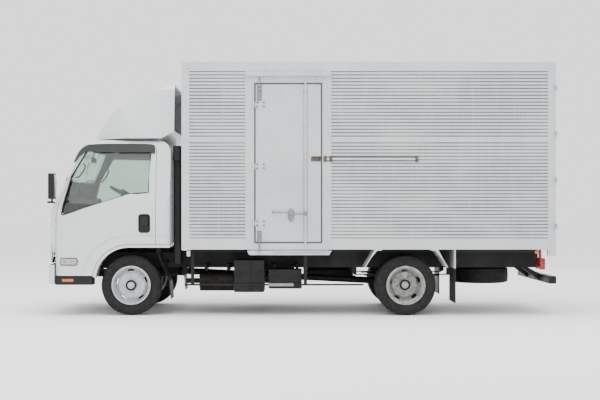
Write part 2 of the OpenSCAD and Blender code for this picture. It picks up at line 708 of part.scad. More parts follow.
// Frame round the side door, with the drip rail over it and the hinge ears
module side_door_frame() color(off_white) on_side(true) {
    difference() {
        slab(sf_x0, sf_x1, inner_hw, box_hw, box_z, wall_z1);
        slab(sd_x0 - door_gap, sd_x1 + door_gap, inner_hw - 1, box_hw + 1,
             sd_z0 - door_gap, sd_z1 + door_gap);
    }
    side_prism([[sf_x0, wall_z1 - 60], [sf_x1, wall_z1 - 60], [sf_x1 - 6, wall_z1 - 13],
                [sf_x0 + 6, wall_z1 - 13]], box_hw - lap, box_hw + 30);
    for (z = side_hinge_z) {
        slab(side_axis_x - 66, side_axis_x - 18, box_hw - lap, box_hw + plate_t, z - 40, z + 40);
        for (e = [z - 40, z + knuckle_h / 2 + side_gap]) {
            h = 40 - knuckle_h / 2 - side_gap;
            slab(side_axis_x - 20, side_axis_x, box_hw + 2, box_hw + plate_t + 2, e, e + h);
            slab(side_axis_x - 8, side_axis_x + 8, box_hw + 3, side_axis_y, e, e + h);
            bar_z(side_hinge_r, side_axis_x, side_axis_y, e, e + h);
        }
        bar_z(side_pin_r, side_axis_x, side_axis_y, z - 39, z + 39);
    }
}

side_rod_x = sd_x0 + 614;
// Side door leaf with its hinge straps, lock rod and rod guides
module side_door() color(white) on_side(true) difference() {
    union() {
        slab(sd_x0, sd_x1, inner_hw, box_hw, sd_z0, sd_z1);
        for (z = side_hinge_z) {
            slab(sd_x0 + 6, sd_x0 + 140, box_hw - lap, box_hw + plate_t, z - 40, z + 40);
            slab(side_axis_x, sd_x0 + 8, box_hw + 2, box_hw + plate_t + 2,
                 z - knuckle_h / 2, z + knuckle_h / 2);
            bar_z(side_hinge_r, side_axis_x, side_axis_y, z - knuckle_h / 2, z + knuckle_h / 2);
        }
        bar_z(lock_rod_r, side_rod_x, box_hw + 20, sd_z0 - 46, sd_z1 + 38);
        for (z = [sd_z0 + 40, sd_z0 + 300, sd_z0 + 430, sd_z0 + 770, sd_z0 + 1110,
                  sd_z0 + 1420, sd_z1 - 90])
            slab(side_rod_x - 24, side_rod_x + 24, box_hw - lap, box_hw + 20, z, z + 50);
    }
    bar_z(side_pin_r + pin_clear, side_axis_x, side_axis_y, sd_z0, sd_z1);
}

// -------------------------------------------------------------------- cab

screen_lean = 27.5;
cowl_z = cab_h - 552;
cowl_x = cab_x0 + 161;
roof_front_x = cowl_x + (cab_h - cowl_z) * tan(screen_lean);
arch_x = front_x - 18;
arch_z = 425;
cab_side_z = arch_z + arch_r;
cab_floor_z = 900;
foot_z = 790;
cab_door_x0 = cab_x0 + 135;
cab_door_x1 = cab_x1 - 175;
cab_door_z1 = cab_h - 64;
lean_in = 92;
belt_z = 1330;
glass_t = 6;

// Outlines of the cab: from the side (x, z), in plan (x, y), from the
// front (y, z), and in plan square to the windscreen
cab_side = [[cab_x1, cab_door_z, 0], [cab_x1, cab_h, 170], [roof_front_x, cab_h, 190],
            [cowl_x, cowl_z, 90], [cab_x0 + 18, 1345, 160], [cab_x0, 1000, 500], [cab_x0, cab_door_z, 0]];
cab_plan = [[cab_x1, -cab_hw, 50], [cab_x1, cab_hw, 50], [cab_x0 + 50, cab_hw, 230],
            [cab_x0 - 10, cab_hw * 0.35, 600], [cab_x0 - 10, -cab_hw * 0.35, 600],
            [cab_x0 + 50, -cab_hw, 230]];
cab_front = [[-cab_hw, cab_door_z, 0], [cab_hw, cab_door_z, 0], [cab_hw, belt_z, 900],
             [cab_hw - lean_in, cab_h, 130], [-cab_hw + lean_in, cab_h, 130], [-cab_hw, belt_z, 900]];
screen_plan = [[far, -cab_hw - 20, 0], [far, cab_hw + 20, 0], [45, cab_hw - 5, 210],
               [-6, cab_hw * 0.4, 900], [-6, -cab_hw * 0.4, 900], [45, -cab_hw + 5, 210]];

// The cab's body as one solid, d inside its outer skin
module cab_body(d) intersection() {
    side_prism(rounded(inset(cab_side, d)), -far, far);
    plan_prism(rounded(inset(cab_plan, d)), 0, far);
    front_prism(rounded(inset(cab_front, d)), -far, far);
    translate([cowl_x, 0, cowl_z]) rotate([0, screen_lean, 0])
        plan_prism(rounded(inset(screen_plan, d)), -far, far);
}

// Front wheel arch, grown by d, open downwards and to the back
function arch_shape(d) = concat(
    [[arch_x - arch_r - d, cab_door_z - 400]],
    [for (a = [176:-4:92]) [arch_x + (arch_r + d) * cos(a), arch_z + (arch_r + d) * sin(a)]],
    [[arch_x, cab_side_z + d], [cab_x1 + 100, cab_side_z + d], [cab_x1 + 100, cab_door_z - 400]]);

flare_w = 100;
flare_d = 9;
// Raised band of panel round the front wheel arch
module flare() intersection() {
    side_prism(arch_shape(flare_w), cab_hw - 60, cab_hw + flare_d);
    slab(cab_door_x0 + 30, cab_x1 - 30, 0, far, cab_door_z, far);
}

// Shell of the cab with nothing cut out but the wheel arches
module cab_wall_shell() difference() {
    union() {
        cab_body(0);
        both_sides() flare();
    }
    cab_body(cab_wall);
    slab(cab_x0 + cab_wall + 20, cab_x1 - cab_wall, -cab_hw + cab_wall, cab_hw - cab_wall, 0, foot_z);
    both_sides() side_prism(arch_shape(0), cab_hw - cab_wall - 60, far);
    slab(cab_door_x1, cab_x1 + 1, -far, far, 0, cab_side_z);
    slab(cab_x0 - 1, cab_door_x0, -far, far, 0, nose_z0);
}

// Outline of a cab door, anticlockwise from its front lower corner
cab_door_shape = [[cab_door_x0, cab_door_z, 25], [cab_door_x1, cab_door_z, 0],
                  [cab_door_x1, cab_door_z1, 60], [roof_front_x + 15, cab_door_z1, 90],
                  [cab_x0 + 160, belt_z, 300], [cab_door_x0, belt_z - 170, 200]];
window_shape = [[cab_door_x1 - 88, 1497, 45], [cab_door_x1 - 64, cab_h - 122, 45],
                [cab_x0 + 520, cab_h - 122, 90], [cab_x0 + 318, 1690, 300],
                [cab_x0 + 222, 1330, 120], [cab_x0 + 205, 1215, 35], [arch_x, 1475, 200]];
screen_shape = [[-cab_hw + 130, cowl_z + 48, 60], [cab_hw - 130, cowl_z + 48, 60],
                [cab_hw - 205, cab_h - 92, 70], [-cab_hw + 205, cab_h - 92, 70]];
back_window_shape = [[-560, 1480, 50], [560, 1480, 50], [560, 1880, 50], [-560, 1880, 50]];
lamp_y0 = cab_hw - 375;
lamp_x1 = cab_x0 + 76;
lamp_z0 = 648;
lamp_z1 = cab_side_z + 9;
grille_hw = lamp_y0 - 30;

module lamp_zone(d) slab(cab_x0 - 50, lamp_x1 + d, lamp_y0 - d, cab_hw + 20, lamp_z0 - d, lamp_z1 + d);
module grille_zone(d) slab(cab_x0 - 50, cab_x0 + 120, -grille_hw - d, grille_hw + d,
                           lamp_z0 + 50 - d, lamp_z1 + d);

// Hinge ear that reaches out of the pillar
module hinge_lug(z0, z1) {
    bar_z(cab_hinge_r, cab_hinge_x, cab_hinge_y, z0, z1);
    slab(cab_hinge_x - 36, cab_hinge_x - 6, cab_hinge_y - 26, cab_hinge_y + 4, z0, z1);
}
cab_hinge_r = 9;
cab_pin_r = 4.5;
cab_hinge_x = cab_door_x0 + 4;
cab_hinge_y = cab_hw - 34;
cab_hinge_z = [cab_door_z + 270, belt_z - 230];
cab_knuckle_h = 44;

// Toe board, floor ahead of the arch, riser and seat floor in one plate
module cab_floor() intersection() {
    side_prism([[cab_x0 + cab_wall - lap, 1000], [cab_x0 + 140, foot_z], [arch_x - 440, foot_z],
                [arch_x - 400, cab_floor_z], [cab_x1 - cab_wall + lap, cab_floor_z],
                [cab_x1 - cab_wall + lap, cab_floor_z - 22], [arch_x - 385, cab_floor_z - 22],
                [arch_x - 425, foot_z - 22], [cab_x0 + 130, foot_z - 22], [cab_x0 + cab_wall - lap, 960]],
               -far, far);
    union() {
        cab_body(cab_wall + door_gap);
        slab(cab_x0, cab_x1, -600, 600, 0, far);
    }
}

// Painted shell: front, roof, pillars, back, floor, steps and tilt arms
module cab_shell() color(white) {
    difference() {
        cab_wall_shell();
        both_sides() {
            side_prism(rounded(inset(cab_door_shape, -door_gap)), cab_hw - 330, far);
            lamp_zone(0);
        }
        grille_zone(0);
        slab(cab_x0 - 1, cab_door_x0 + 30, -far, far, 0, cab_door_z + 30);
        both_sides() slab(cab_x0 - 60, cab_x0 + cab_wall + 1, pivot_y - barrel_w / 2 - ear_t - 12,
                          pivot_y + barrel_w / 2 + ear_t + 12, 0, pivot_z + 28);
        front_prism(rounded(screen_shape), -far, cab_x0 + 700);
        front_prism(rounded(back_window_shape), cab_x1 - 100, far);
    }
    cab_floor();
    both_sides() {
        // step behind the door's lower half
        slab(cab_x0 + 160, arch_x - 450, cab_hw - 290, cab_hw - cab_wall - door_gap,
             cab_door_z + 10, cab_door_z + 26);
        slab(cab_x0 + 160, arch_x - 450, cab_hw - 306, cab_hw - 290 + lap, cab_door_z + 10, foot_z);
        // side of the floor, closing it to the sill of the doorway's back part
        slab(cab_door_x1 + door_gap, cab_x1 - cab_wall + lap, cab_hw - cab_wall - door_gap - lap,
             cab_hw - cab_wall + lap, cab_floor_z - 22, cab_floor_z);
        for (z = cab_hinge_z) {
            hinge_lug(z - cab_knuckle_h / 2 - side_gap - 14, z - cab_knuckle_h / 2 - side_gap);
            hinge_lug(z + cab_knuckle_h / 2 + side_gap, z + cab_knuckle_h / 2 + side_gap + 14);
            bar_z(cab_pin_r, cab_hinge_x, cab_hinge_y, z - cab_knuckle_h / 2 - 10,
                  z + cab_knuckle_h / 2 + 10);
        }
        // tilt arm with its barrel round the pin on the frame
        difference() {
            union() {
                bar_y(pivot_r, pivot_x, pivot_y - barrel_w / 2, pivot_y + barrel_w / 2, pivot_z);
                slab(pivot_x - pivot_r, pivot_x + pivot_r, pivot_y - barrel_w / 2,
                     pivot_y + barrel_w / 2, pivot_z, pivot_z + 60);
            }
            bar_y(pivot_pin_r + pin_clear, pivot_x, pivot_y - 60, pivot_y + 60, pivot_z);
        }
    }
}

module cab_grille() color(black) intersection() {
    cab_wall_shell();
    grille_zone(0);
}

module front_lamps() color(glass_green) intersection() {
    difference() {
        cab_body(0);
        cab_body(cab_wall);
    }
    both_sides() lamp_zone(0);
}

// Strip along the wheel arch between two distances outside its edge
function arch_strip(d0, d1) = concat(
    [for (a = [174:-6:90]) [arch_x + (arch_r + d0) * cos(a), arch_z + (arch_r + d0) * sin(a)]],
    [[cab_x1, cab_side_z + d0], [cab_x1, cab_side_z + d1]],
    [for (a = [90:6:174]) [arch_x + (arch_r + d1) * cos(a), arch_z + (arch_r + d1) * sin(a)]]);

arch_lip = 34;
// Black wheel-arch liner with the wide lip that shows below the panels
module cab_arch_trims() color(black) both_sides() {
    side_prism(arch_strip(-door_gap, -door_gap - arch_lip), cab_hw - 60, cab_hw + 2);
    side_prism(arch_strip(-door_gap, -door_gap - 10), cab_hw - 330, cab_hw - 60 + lap);
    slab(arch_x, cab_x1 - 60, cab_hw - 330, cab_hw - 322, cab_side_z - door_gap - lap, cab_floor_z - 22);
}

// Thin skin of glass, glass_in inside the cab's outer skin
module glass_skin() difference() {
    cab_body(glass_in);
    cab_body(glass_in + glass_t);
}
glass_in = 14;

module cab_glass() color(glass_green) intersection() {
    glass_skin();
    union() {
        front_prism(rounded(screen_shape), -far, cab_x0 + 700);
        front_prism(rounded(back_window_shape), cab_x1 - 100, far);
    }
}

// One cab door, drawn on the right, with its window cut and its barrels
module cab_leaf() color(white) difference() {
    union() {
        difference() {
            intersection() {
                cab_wall_shell();
                side_prism(rounded(cab_door_shape), cab_hw - 330, far);
            }
            side_prism(rounded(window_shape), cab_hw - 340, far);
            for (z = cab_hinge_z)
                bar_z(cab_hinge_r + 4, cab_hinge_x, cab_hinge_y, z - cab_knuckle_h, z + cab_knuckle_h);
        }
        for (z = cab_hinge_z) {
            bar_z(cab_hinge_r, cab_hinge_x, cab_hinge_y, z - cab_knuckle_h / 2, z + cab_knuckle_h / 2);
            slab(cab_hinge_x, cab_hinge_x + 32, cab_hinge_y - 26, cab_hinge_y - 2,
                 z - cab_knuckle_h / 2, z + cab_knuckle_h / 2);
        }
    }
    bar_z(cab_pin_r + pin_clear, cab_hinge_x, cab_hinge_y, cab_door_z + 100, belt_z);
}
module cab_door_left() on_side(true) cab_leaf();
module cab_door_right() on_side(false) cab_leaf();

module window_glass() color(glass_green) intersection() {
    glass_skin();
    side_prism(rounded(window_shape), cab_hw - 340, far);
}
module door_glass_left() on_side(true) window_glass();
module door_glass_right() on_side(false) window_glass();

fairing_x0 = roof_front_x + 85;
fairing_x1 = cab_x1 + 37;
fairing_t = 24;
fairing_side = [for (p = [[fairing_x1, 0.15, 0], [fairing_x1, 1, 20], [fairing_x1 - 557, 0.66, 700],
        [fairing_x1 - 742, 0.5, 250], [fairing_x1 - 865, 0.32, 300], [fairing_x0, 0.045, 60],
        [fairing_x0, 0.005, 0], [fairing_x1 - 179, 0.005, 0]])
    [p[0], cab_h + fairing_h * p[1], p[2]]];
fairing_plan = [[fairing_x1, -cab_hw + 95, 0], [fairing_x1, cab_hw - 95, 0],
                [fairing_x0 + 380, cab_hw - 120, 500], [fairing_x0, cab_hw - 420, 240],
                [fairing_x0, -cab_hw + 420, 240], [fairing_x0 + 380, -cab_hw + 120, 500]];
fairing_front = [[-cab_hw + 100, cab_h, 0], [cab_hw - 100, cab_h, 0],
                 [cab_hw - 190, cab_h + fairing_h + 1, 130], [-cab_hw + 190, cab_h + fairing_h + 1, 130]];

module fairing_body(d) intersection() {
    side_prism(rounded(inset(fairing_side, d)), -far, far);
    plan_prism(rounded(inset(fairing_plan, d)), 0, far);
    front_prism(rounded(inset(fairing_front, d)), -far, far);
}

// Wind fairing: a shell that is open at its back and below, on four feet
module roof_fairing() color(white) {
    difference() {
        fairing_body(0);
        fairing_body(fairing_t);
        translate([fairing_t + 2, 0, 0]) fairing_body(fairing_t);
        translate([0, 0, -fairing_t - 2]) fairing_body(fairing_t);
    }
    both_sides() for (x = [fairing_x0 + 420, fairing_x1 - 260]) {
        slab(x, x + 60, cab_hw - 310, cab_hw - 250, cab_h, cab_h + 40);
        slab(x, x + 60, cab_hw - 310, cab_hw - 118, cab_h + 30, cab_h + 50);
    }
}

mirror_arm_z = cab_h - 766;
mirror_arm_y = cab_hw + 150;
mirror_arm_r = 12;
mirror_x0 = cab_x0 + 94;
mirror_x1 = cab_x0 + 173;
mirror_post_x = cab_x0 + 130;
// Two door mirrors on arms from the cab's front corners
module mirrors() color(black) difference() {
    both_sides() {
        plan_prism(rounded([[mirror_x0, cab_hw + 103, 25], [mirror_x1, cab_hw + 103, 12],
                            [mirror_x1, cab_hw + 232, 12], [mirror_x0, cab_hw + 232, 25]], 4),
                   mirror_arm_z + 37, mirror_arm_z + 343);
        bar_y(mirror_arm_r, cab_x0 + 84, cab_hw - 150, mirror_arm_y + mirror_arm_r, mirror_arm_z);
        bar_x(mirror_arm_r, cab_x0 + 84, mirror_post_x + mirror_arm_r, mirror_arm_y, mirror_arm_z);
        bar_z(mirror_arm_r, mirror_post_x, mirror_arm_y, mirror_arm_z, mirror_arm_z + 60);
    }
    cab_body(0);
}

column_x = cab_x0 + 740;
column_z = cab_h - 642;
column_y = 370;
column_lean = 30;
// Frame of the steering column: its axis is +Z of the children
module at_column() translate([column_x, column_y, column_z]) rotate([0, column_lean, 0]) children();

// Dashboard, and the column that leaves it towards the driver on the right
module dashboard() color("dimgray") {
    intersection() {
        cab_body(cab_wall + 0.3);
        side_prism([[cab_x0 + 60, 1010], [cab_x0 + 330, 1010], [cab_x0 + 400, 1120],
                    [cab_x0 + 385, 1380], [cab_x0 + 345, 1410], [cab_x0 + 60, 1465]],
                   -cab_hw + 120, cab_hw - 120);
    }
    // column down to the floor, with the bracket that ties it to the dashboard
    difference() {
        union() {
            at_column() translate([0, 0, -900]) cylinder(h = 860, r = 34);
            slab(cab_x0 + 380, column_x - 190, column_y - 25, column_y + 25, 1130, 1170);
        }
        slab(cab_x0, cab_x1, 0, cab_hw, 0, foot_z);
        at_column() translate([0, 0, -100]) cylinder(h = 100, r = 12 + pin_clear);
    }
}

wheel_rim_r = 215;
// Steering wheel: rim, three spokes, hub and the end of its shaft
module steering_wheel() color(black) at_column() {
    rotate_extrude() translate([wheel_rim_r - 15, 0]) circle(15);
    cylinder(h = 50, r = 45, center = true);
    for (a = [90, 210, 330]) rotate([0, 0, a]) translate([30, -16, -8]) cube([wheel_rim_r - 46, 32, 16]);
    translate([0, 0, -95]) cylinder(h = 75, r = 12);
}

// Seat seen from the side: base, cushion and leaning back in one outline
seat_shape = [[cab_x1 - 600, cab_floor_z, 20], [cab_x1 - 130, cab_floor_z, 20],
              [cab_x1 - 68, 1720, 40], [cab_x1 - 185, 1735, 40], [cab_x1 - 250, 1145, 60],
              [cab_x1 - 620, 1160, 50], [cab_x1 - 635, 1080, 40]];
module seats() color("slategray") {
    side_prism(rounded(seat_shape, 4), 140, 700);
    side_prism(rounded(seat_shape, 4), -780, 20);
}

chassis_frame();
engine();
propshaft();
leaf_springs();
front_axle();
rear_axle();
fuel_tank();
battery_box();
tool_box();
muffler();
side_guards();
side_steps();
front_mudguards();
rear_mudguards();
spare_wheel();
underrun_bar();
tail_lamps();
front_bumper();
air_intake();
box_floor();
box_frame();
box_left_wall();
box_right_wall();
box_front_wall();
box_roof();
rear_frame();
side_door_frame();
side_door();
rear_door_left();
rear_door_right();
cab_shell();
cab_grille();
cab_arch_trims();
cab_glass();
roof_fairing();
front_lamps();
mirrors();
dashboard();
seats();
steering_wheel();
cab_door_left();
cab_door_right();
door_glass_left();
door_glass_right();
front_left_knuckle();
front_right_knuckle();
track_rod();
front_left_wheel();
front_right_wheel();
front_left_tyre();
front_right_tyre();
rear_left_wheels();
rear_right_wheels();
rear_left_tyres();
rear_right_tyres();
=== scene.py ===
"""Looks of a light cab-over box truck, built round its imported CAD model.

The truck faces -X, its left side, which is the one shown, is -Y, and it stands on Z = 0.
Lengths are in metres unless a name ends in _mm.
"""

import bpy
import math
from mathutils import Matrix, Vector


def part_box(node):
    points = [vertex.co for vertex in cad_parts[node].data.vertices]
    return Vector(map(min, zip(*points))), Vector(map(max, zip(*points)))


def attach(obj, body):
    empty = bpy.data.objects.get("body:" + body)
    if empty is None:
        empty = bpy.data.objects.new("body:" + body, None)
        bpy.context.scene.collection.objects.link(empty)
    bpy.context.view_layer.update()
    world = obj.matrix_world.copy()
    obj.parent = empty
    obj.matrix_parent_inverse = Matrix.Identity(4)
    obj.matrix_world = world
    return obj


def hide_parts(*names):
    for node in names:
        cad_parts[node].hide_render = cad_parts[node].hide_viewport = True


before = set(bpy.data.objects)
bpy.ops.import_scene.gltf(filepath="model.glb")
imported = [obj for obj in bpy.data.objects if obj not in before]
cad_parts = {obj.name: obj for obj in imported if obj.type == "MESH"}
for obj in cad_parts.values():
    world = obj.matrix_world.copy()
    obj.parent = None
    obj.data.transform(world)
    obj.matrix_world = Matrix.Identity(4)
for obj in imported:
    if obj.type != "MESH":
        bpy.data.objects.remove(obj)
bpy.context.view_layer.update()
OUT, INWARD = (0, -1, 0), (0, 1, 0)  # on the truck's left side
FORWARD, BACKWARD, UP = (-1, 0, 0), (1, 0, 0), (0, 0, 1)

# ------------ places taken from the frame

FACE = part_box("box_left_wall")[0].y  # the near face of the box's frame and rails
SUNK = -0.0005  # how far fittings reach into the face they stand on
box_low, box_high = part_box("box_frame")
front_hub = sum(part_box("front_left_wheel"), Vector()) / 2
rear_hub = sum(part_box("rear_left_wheels"), Vector()) / 2


def meet(node, start, way):
    """Where a ray first meets a node, or None."""
    hit, place, _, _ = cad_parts[node].ray_cast(start, way)
    return place if hit else None


def skin(node, x, z):
    """Y of a node's outer face at x and z, met from the truck's left."""
    return meet(node, (x, -3, z), INWARD).y


def near(x, proud, z):
    """A point that stands proud of the box's near face."""
    return (x, FACE - proud, z)


# ------------ finishes

ROAD_DUST, CHASSIS_DUST = "C9C2B4", "3A3733"


def linear(code):
    """An sRGB hex colour as linear red, green, blue and alpha."""
    parts = [int(code[i : i + 2], 16) / 255 for i in (0, 2, 4)]
    return [
        p / 12.92 if p <= 0.04045 else ((p + 0.055) / 1.055) ** 2.4 for p in parts
    ] + [1.0]


def add(tree, kind, settings, links=None):
    """Adds one node, sets its properties and sockets, and links its inputs."""
    node = tree.nodes.new(kind)
    for key, value in settings.items():
        if isinstance(key, str) and key[0].islower():
            setattr(node, key, value)
        else:
            node.inputs[key].default_value = value
    for key, source in (links or {}).items():
        tree.links.new(source, node.inputs[key])
    return node


class Finish:
    """A material under construction: its tree, its shader, its colour and roughness so far."""

    def __init__(self, name, base, shade, patch_mm, rough, rough_swing, metallic=0.0):
        self.material = bpy.data.materials.new(name)
        self.material.use_nodes = True
        self.tree = self.material.node_tree
        self.tree.nodes.clear()
        self.place = add(self.tree, "ShaderNodeTexCoord", {}).outputs["Object"]
        self.axes = add(self.tree, "ShaderNodeSeparateXYZ", {}, {0: self.place})
        self.patches = self.noise(patch_mm, 5)
        mix = {"data_type": "RGBA", 6: linear(base), 7: linear(shade)}
        spots = self.ramp(self.patches, 0.35, 0.7)
        self.colour = add(self.tree, "ShaderNodeMix", mix, {0: spots}).outputs[2]
        ends = rough - rough_swing, rough + rough_swing
        self.rough = self.ramp(self.patches, 0.3, 0.7, *ends)
        self.normal = None
        self.shader = add(self.tree, "ShaderNodeBsdfPrincipled", {"Metallic": metallic})

    def noise(self, size_mm, detail=3, stretch=(1, 1, 1)):
        """Noise whose features are about size_mm across, drawn out by stretch along the axes."""
        squeeze = {"Scale": [1 / s for s in stretch]}
        spread = add(self.tree, "ShaderNodeMapping", squeeze, {"Vector": self.place})
        return add(
            self.tree, "ShaderNodeTexNoise", {"Scale": 1000 / size_mm, "Detail": detail},
            {"Vector": spread.outputs[0]},
        ).outputs[0]

    def ramp(self, source, low, high, start=0.0, end=1.0):
        """Carries low to high of a value on to start to end, clamped."""
        span = {1: low, 2: high, 3: start, 4: end}
        return add(self.tree, "ShaderNodeMapRange", span, {0: source}).outputs[0]

    def both(self, a, b, operation="MULTIPLY"):
        """Two values, or a value and a number, joined by a sum."""
        settings, links = {"operation": operation}, {0: a}
        if isinstance(b, (int, float)):
            settings[1] = b
        else:
            links[1] = b
        return add(self.tree, "ShaderNodeMath", settings, links).outputs[0]

    def band(self, axis, middle, half, soft=0.001):
        """1 within half of middle along an axis, and 0 outside."""
        away = self.both(self.axes.outputs[axis], middle, "SUBTRACT")
        away = self.both(away, 0.0, "ABSOLUTE")
        return self.ramp(away, half, half + soft, 1.0, 0.0)

    def cover(self, colour, mask, rough=None):
        """Lays another colour over the finish where the mask is 1."""
        self.colour = add(
            self.tree, "ShaderNodeMix", {"data_type": "RGBA", 7: linear(colour)},
            {0: mask, 6: self.colour},
        ).outputs[2]
        if rough is not None:
            self.rough = add(
                self.tree, "ShaderNodeMix", {3: rough}, {0: mask, 2: self.rough}
            ).outputs[0]
        return self

    def bump(self, height, depth_mm, strength=0.6):
        """Relief of a real depth."""
        settings = {"Strength": strength, "Distance": depth_mm / 1000}
        links = {"Height": height}
        if self.normal:
            links["Normal"] = self.normal
        self.normal = add(self.tree, "ShaderNodeBump", settings, links).outputs[0]
        return self

    def dust(self, colour, up_to, most):
        """Road dust that thins out with height above the ground."""
        height = self.ramp(self.axes.outputs[2], 0.0, up_to, most, 0.0)
        mask = self.both(height, self.ramp(self.noise(90, 6), 0.3, 0.65))
        return self.cover(colour, mask, 0.85)

    def done(self, **sockets):
        """Sets the shader's own sockets, links what was built, and gives the material."""
        for name, value in sockets.items():
            self.shader.inputs[name.replace("_", " ")].default_value = value
        self.tree.links.new(self.colour, self.shader.inputs["Base Color"])
        self.tree.links.new(self.rough, self.shader.inputs["Roughness"])
        if self.normal:
            self.tree.links.new(self.normal, self.shader.inputs["Normal"])
        out = add(self.tree, "ShaderNodeOutputMaterial", {})
        self.tree.links.new(self.shader.outputs[0], out.inputs[0])
        return self.material


def enamel(name):
    """Two-pack white enamel on pressed steel: glossy, a faint orange peel, dusty low down."""
    f = Finish(name, "CFD3D5", "C8CCCE", 900, 0.28, 0.05)
    return f.bump(f.noise(7, 2), 0.03, 0.25).dust(ROAD_DUST, 0.75, 0.3)


white_enamel = enamel("white_enamel").done(IOR=1.5, Coat_Weight=0.5, Coat_Roughness=0.08)

# Cab panels: the same enamel outside, and grey-green trim on every face that looks inwards
CAB_MIDDLE = (-2.3, 0, 1.35)
f = enamel("enamel_and_trim")
out_from = add(
    f.tree, "ShaderNodeVectorMath", {"operation": "SUBTRACT", 1: CAB_MIDDLE}, {0: f.place}
)
turned_in = add(
    f.tree, "ShaderNodeVectorMath", {"operation": "DOT_PRODUCT"},
    {0: out_from.outputs[0], 1: f.place.node.outputs["Normal"]},
).outputs["Value"]
f.cover("151A18", f.ramp(turned_in, -0.10, -0.06, 1.0, 0.0), 0.75)
enamel_and_trim = f.done(IOR=1.5)

# Coil-coated ribbed aluminium sheet: cold white, satin, rain streaks, lap seams between sheets
f = Finish("coated_ribbed_sheet", "B9BFC4", "AFB5BA", 700, 0.42, 0.06)
# the ribs' valleys lie 9 mm behind their crests, and are darkened there with painted shade
PAINTED_SHADE_TO, UNSHADED_FROM = 1.0415, 1.0488
SHEET_SEAMS = (-0.927, 0.979, 1.574, 2.588)
depth = f.both(f.axes.outputs[1], 0.0, "ABSOLUTE")
# painted shade: dark grey in the rib valleys, fading out towards the crests
f.cover("484D50", f.ramp(depth, PAINTED_SHADE_TO, UNSHADED_FROM, 0.9, 0.0), 0.6)
for seam_x in SHEET_SEAMS:
    f.cover("A9ABAA", f.band(0, seam_x, 0.0015, 0.0015), 0.6)
streaks = f.ramp(f.noise(26, 4, (1, 1, 30)), 0.52, 0.78, 0.0, 0.4)
f.cover("C3C0B8", streaks, 0.6)
grooves = f.ramp(f.noise(240, 4, (3, 1, 1)), 0.45, 0.75, 0.0, 0.35)
f.cover("CDCBC5", grooves, 0.6).bump(f.noise(30, 2), 0.08, 0.2)
coated_sheet = f.done(IOR=1.5)

# The same coated aluminium on the roof and front wall, with dirt where rain lies
f = Finish("coated_plain_sheet", "B9BFC4", "AFB5BA", 700, 0.45, 0.06)
f.cover("8F938F", f.ramp(f.noise(350, 6), 0.5, 0.75, 0.0, 0.5), 0.7)
plain_sheet = f.bump(f.noise(60, 2), 0.1, 0.2).done(IOR=1.5)

# White polyester paint on rolled sections, with rust where water stands in the joints
f = Finish("painted_sections", "BFC4C7", "B4B9BC", 400, 0.4, 0.07)
f.cover("B9B3A6", f.ramp(f.noise(60, 6, (1, 1, 6)), 0.56, 0.8, 0.0, 0.55), 0.7)
f.cover("8A5A38", f.ramp(f.noise(28, 7), 0.7, 0.78, 0.0, 0.8), 0.85)
painted_sections = f.bump(f.noise(12, 3), 0.05, 0.3).done(IOR=1.5)

# The same paint over the door, with long brown runs below the drip rail
f = Finish("streaked_paint", "BCC1C4", "B0B5B8", 400, 0.4, 0.07)
RUNS_END, DRIP_RAIL = 2.55, 2.93
runs = f.both(
    f.ramp(f.noise(14, 4, (1, 1, 40)), 0.55, 0.72),
    f.ramp(f.axes.outputs[2], RUNS_END, DRIP_RAIL, 0.0, 0.9),
)
f.cover("8F6A4A", runs, 0.8)
f.cover("B9B3A6", f.ramp(f.noise(70, 6, (1, 1, 5)), 0.58, 0.8, 0.0, 0.5), 0.7)
streaked_paint = f.bump(f.noise(12, 3), 0.05, 0.3).done(IOR=1.5)

# Black chassis paint brushed and sprayed over hot-rolled steel: satin, chalky with dust
f = Finish("chassis_black", "030304", "080809", 160, 0.5, 0.12)
f.bump(f.noise(5, 4), 0.12, 0.5).dust(CHASSIS_DUST, 0.6, 0.35)
chassis_black = f.done(IOR=1.5, Specular_IOR_Level=0.3)

# Grey cast iron and forged steel: rough skin from the sand, oily dark patches
f = Finish("cast_iron", "121314", "0B0C0D", 90, 0.6, 0.12, 0.6)
f.cover("35291F", f.ramp(f.noise(45, 6), 0.58, 0.72, 0.0, 0.6), 0.85)
cast_iron = f.bump(f.noise(3.5, 4), 0.35, 0.7).dust(CHASSIS_DUST, 0.6, 0.35).done()

# Silver wheel enamel over pressed steel: fine metal flake, brake dust in the corners
f = Finish("wheel_silver", "B9BCBF", "9EA2A5", 70, 0.38, 0.08, 0.55)
f.cover("6E675E", f.ramp(f.noise(38, 6), 0.5, 0.75, 0.0, 0.6), 0.75)
wheel_silver = f.bump(f.noise(2.5, 2), 0.03, 0.3).done()

# Twin wheels run dirtier: the same enamel under a grey film
f = Finish("dusty_wheel_silver", "A9AAA9", "8E8E89", 70, 0.5, 0.08, 0.45)
f.cover("5E564B", f.ramp(f.noise(34, 6), 0.46, 0.74, 0.0, 0.75), 0.85)
dusty_silver = f.bump(f.noise(2.5, 2), 0.04, 0.3).done()


SIDEWALL_END, TREAD_START = 0.345, 0.352
SIDEWALL_RIB, TREAD_BLOCKS = 0.009, 84.0


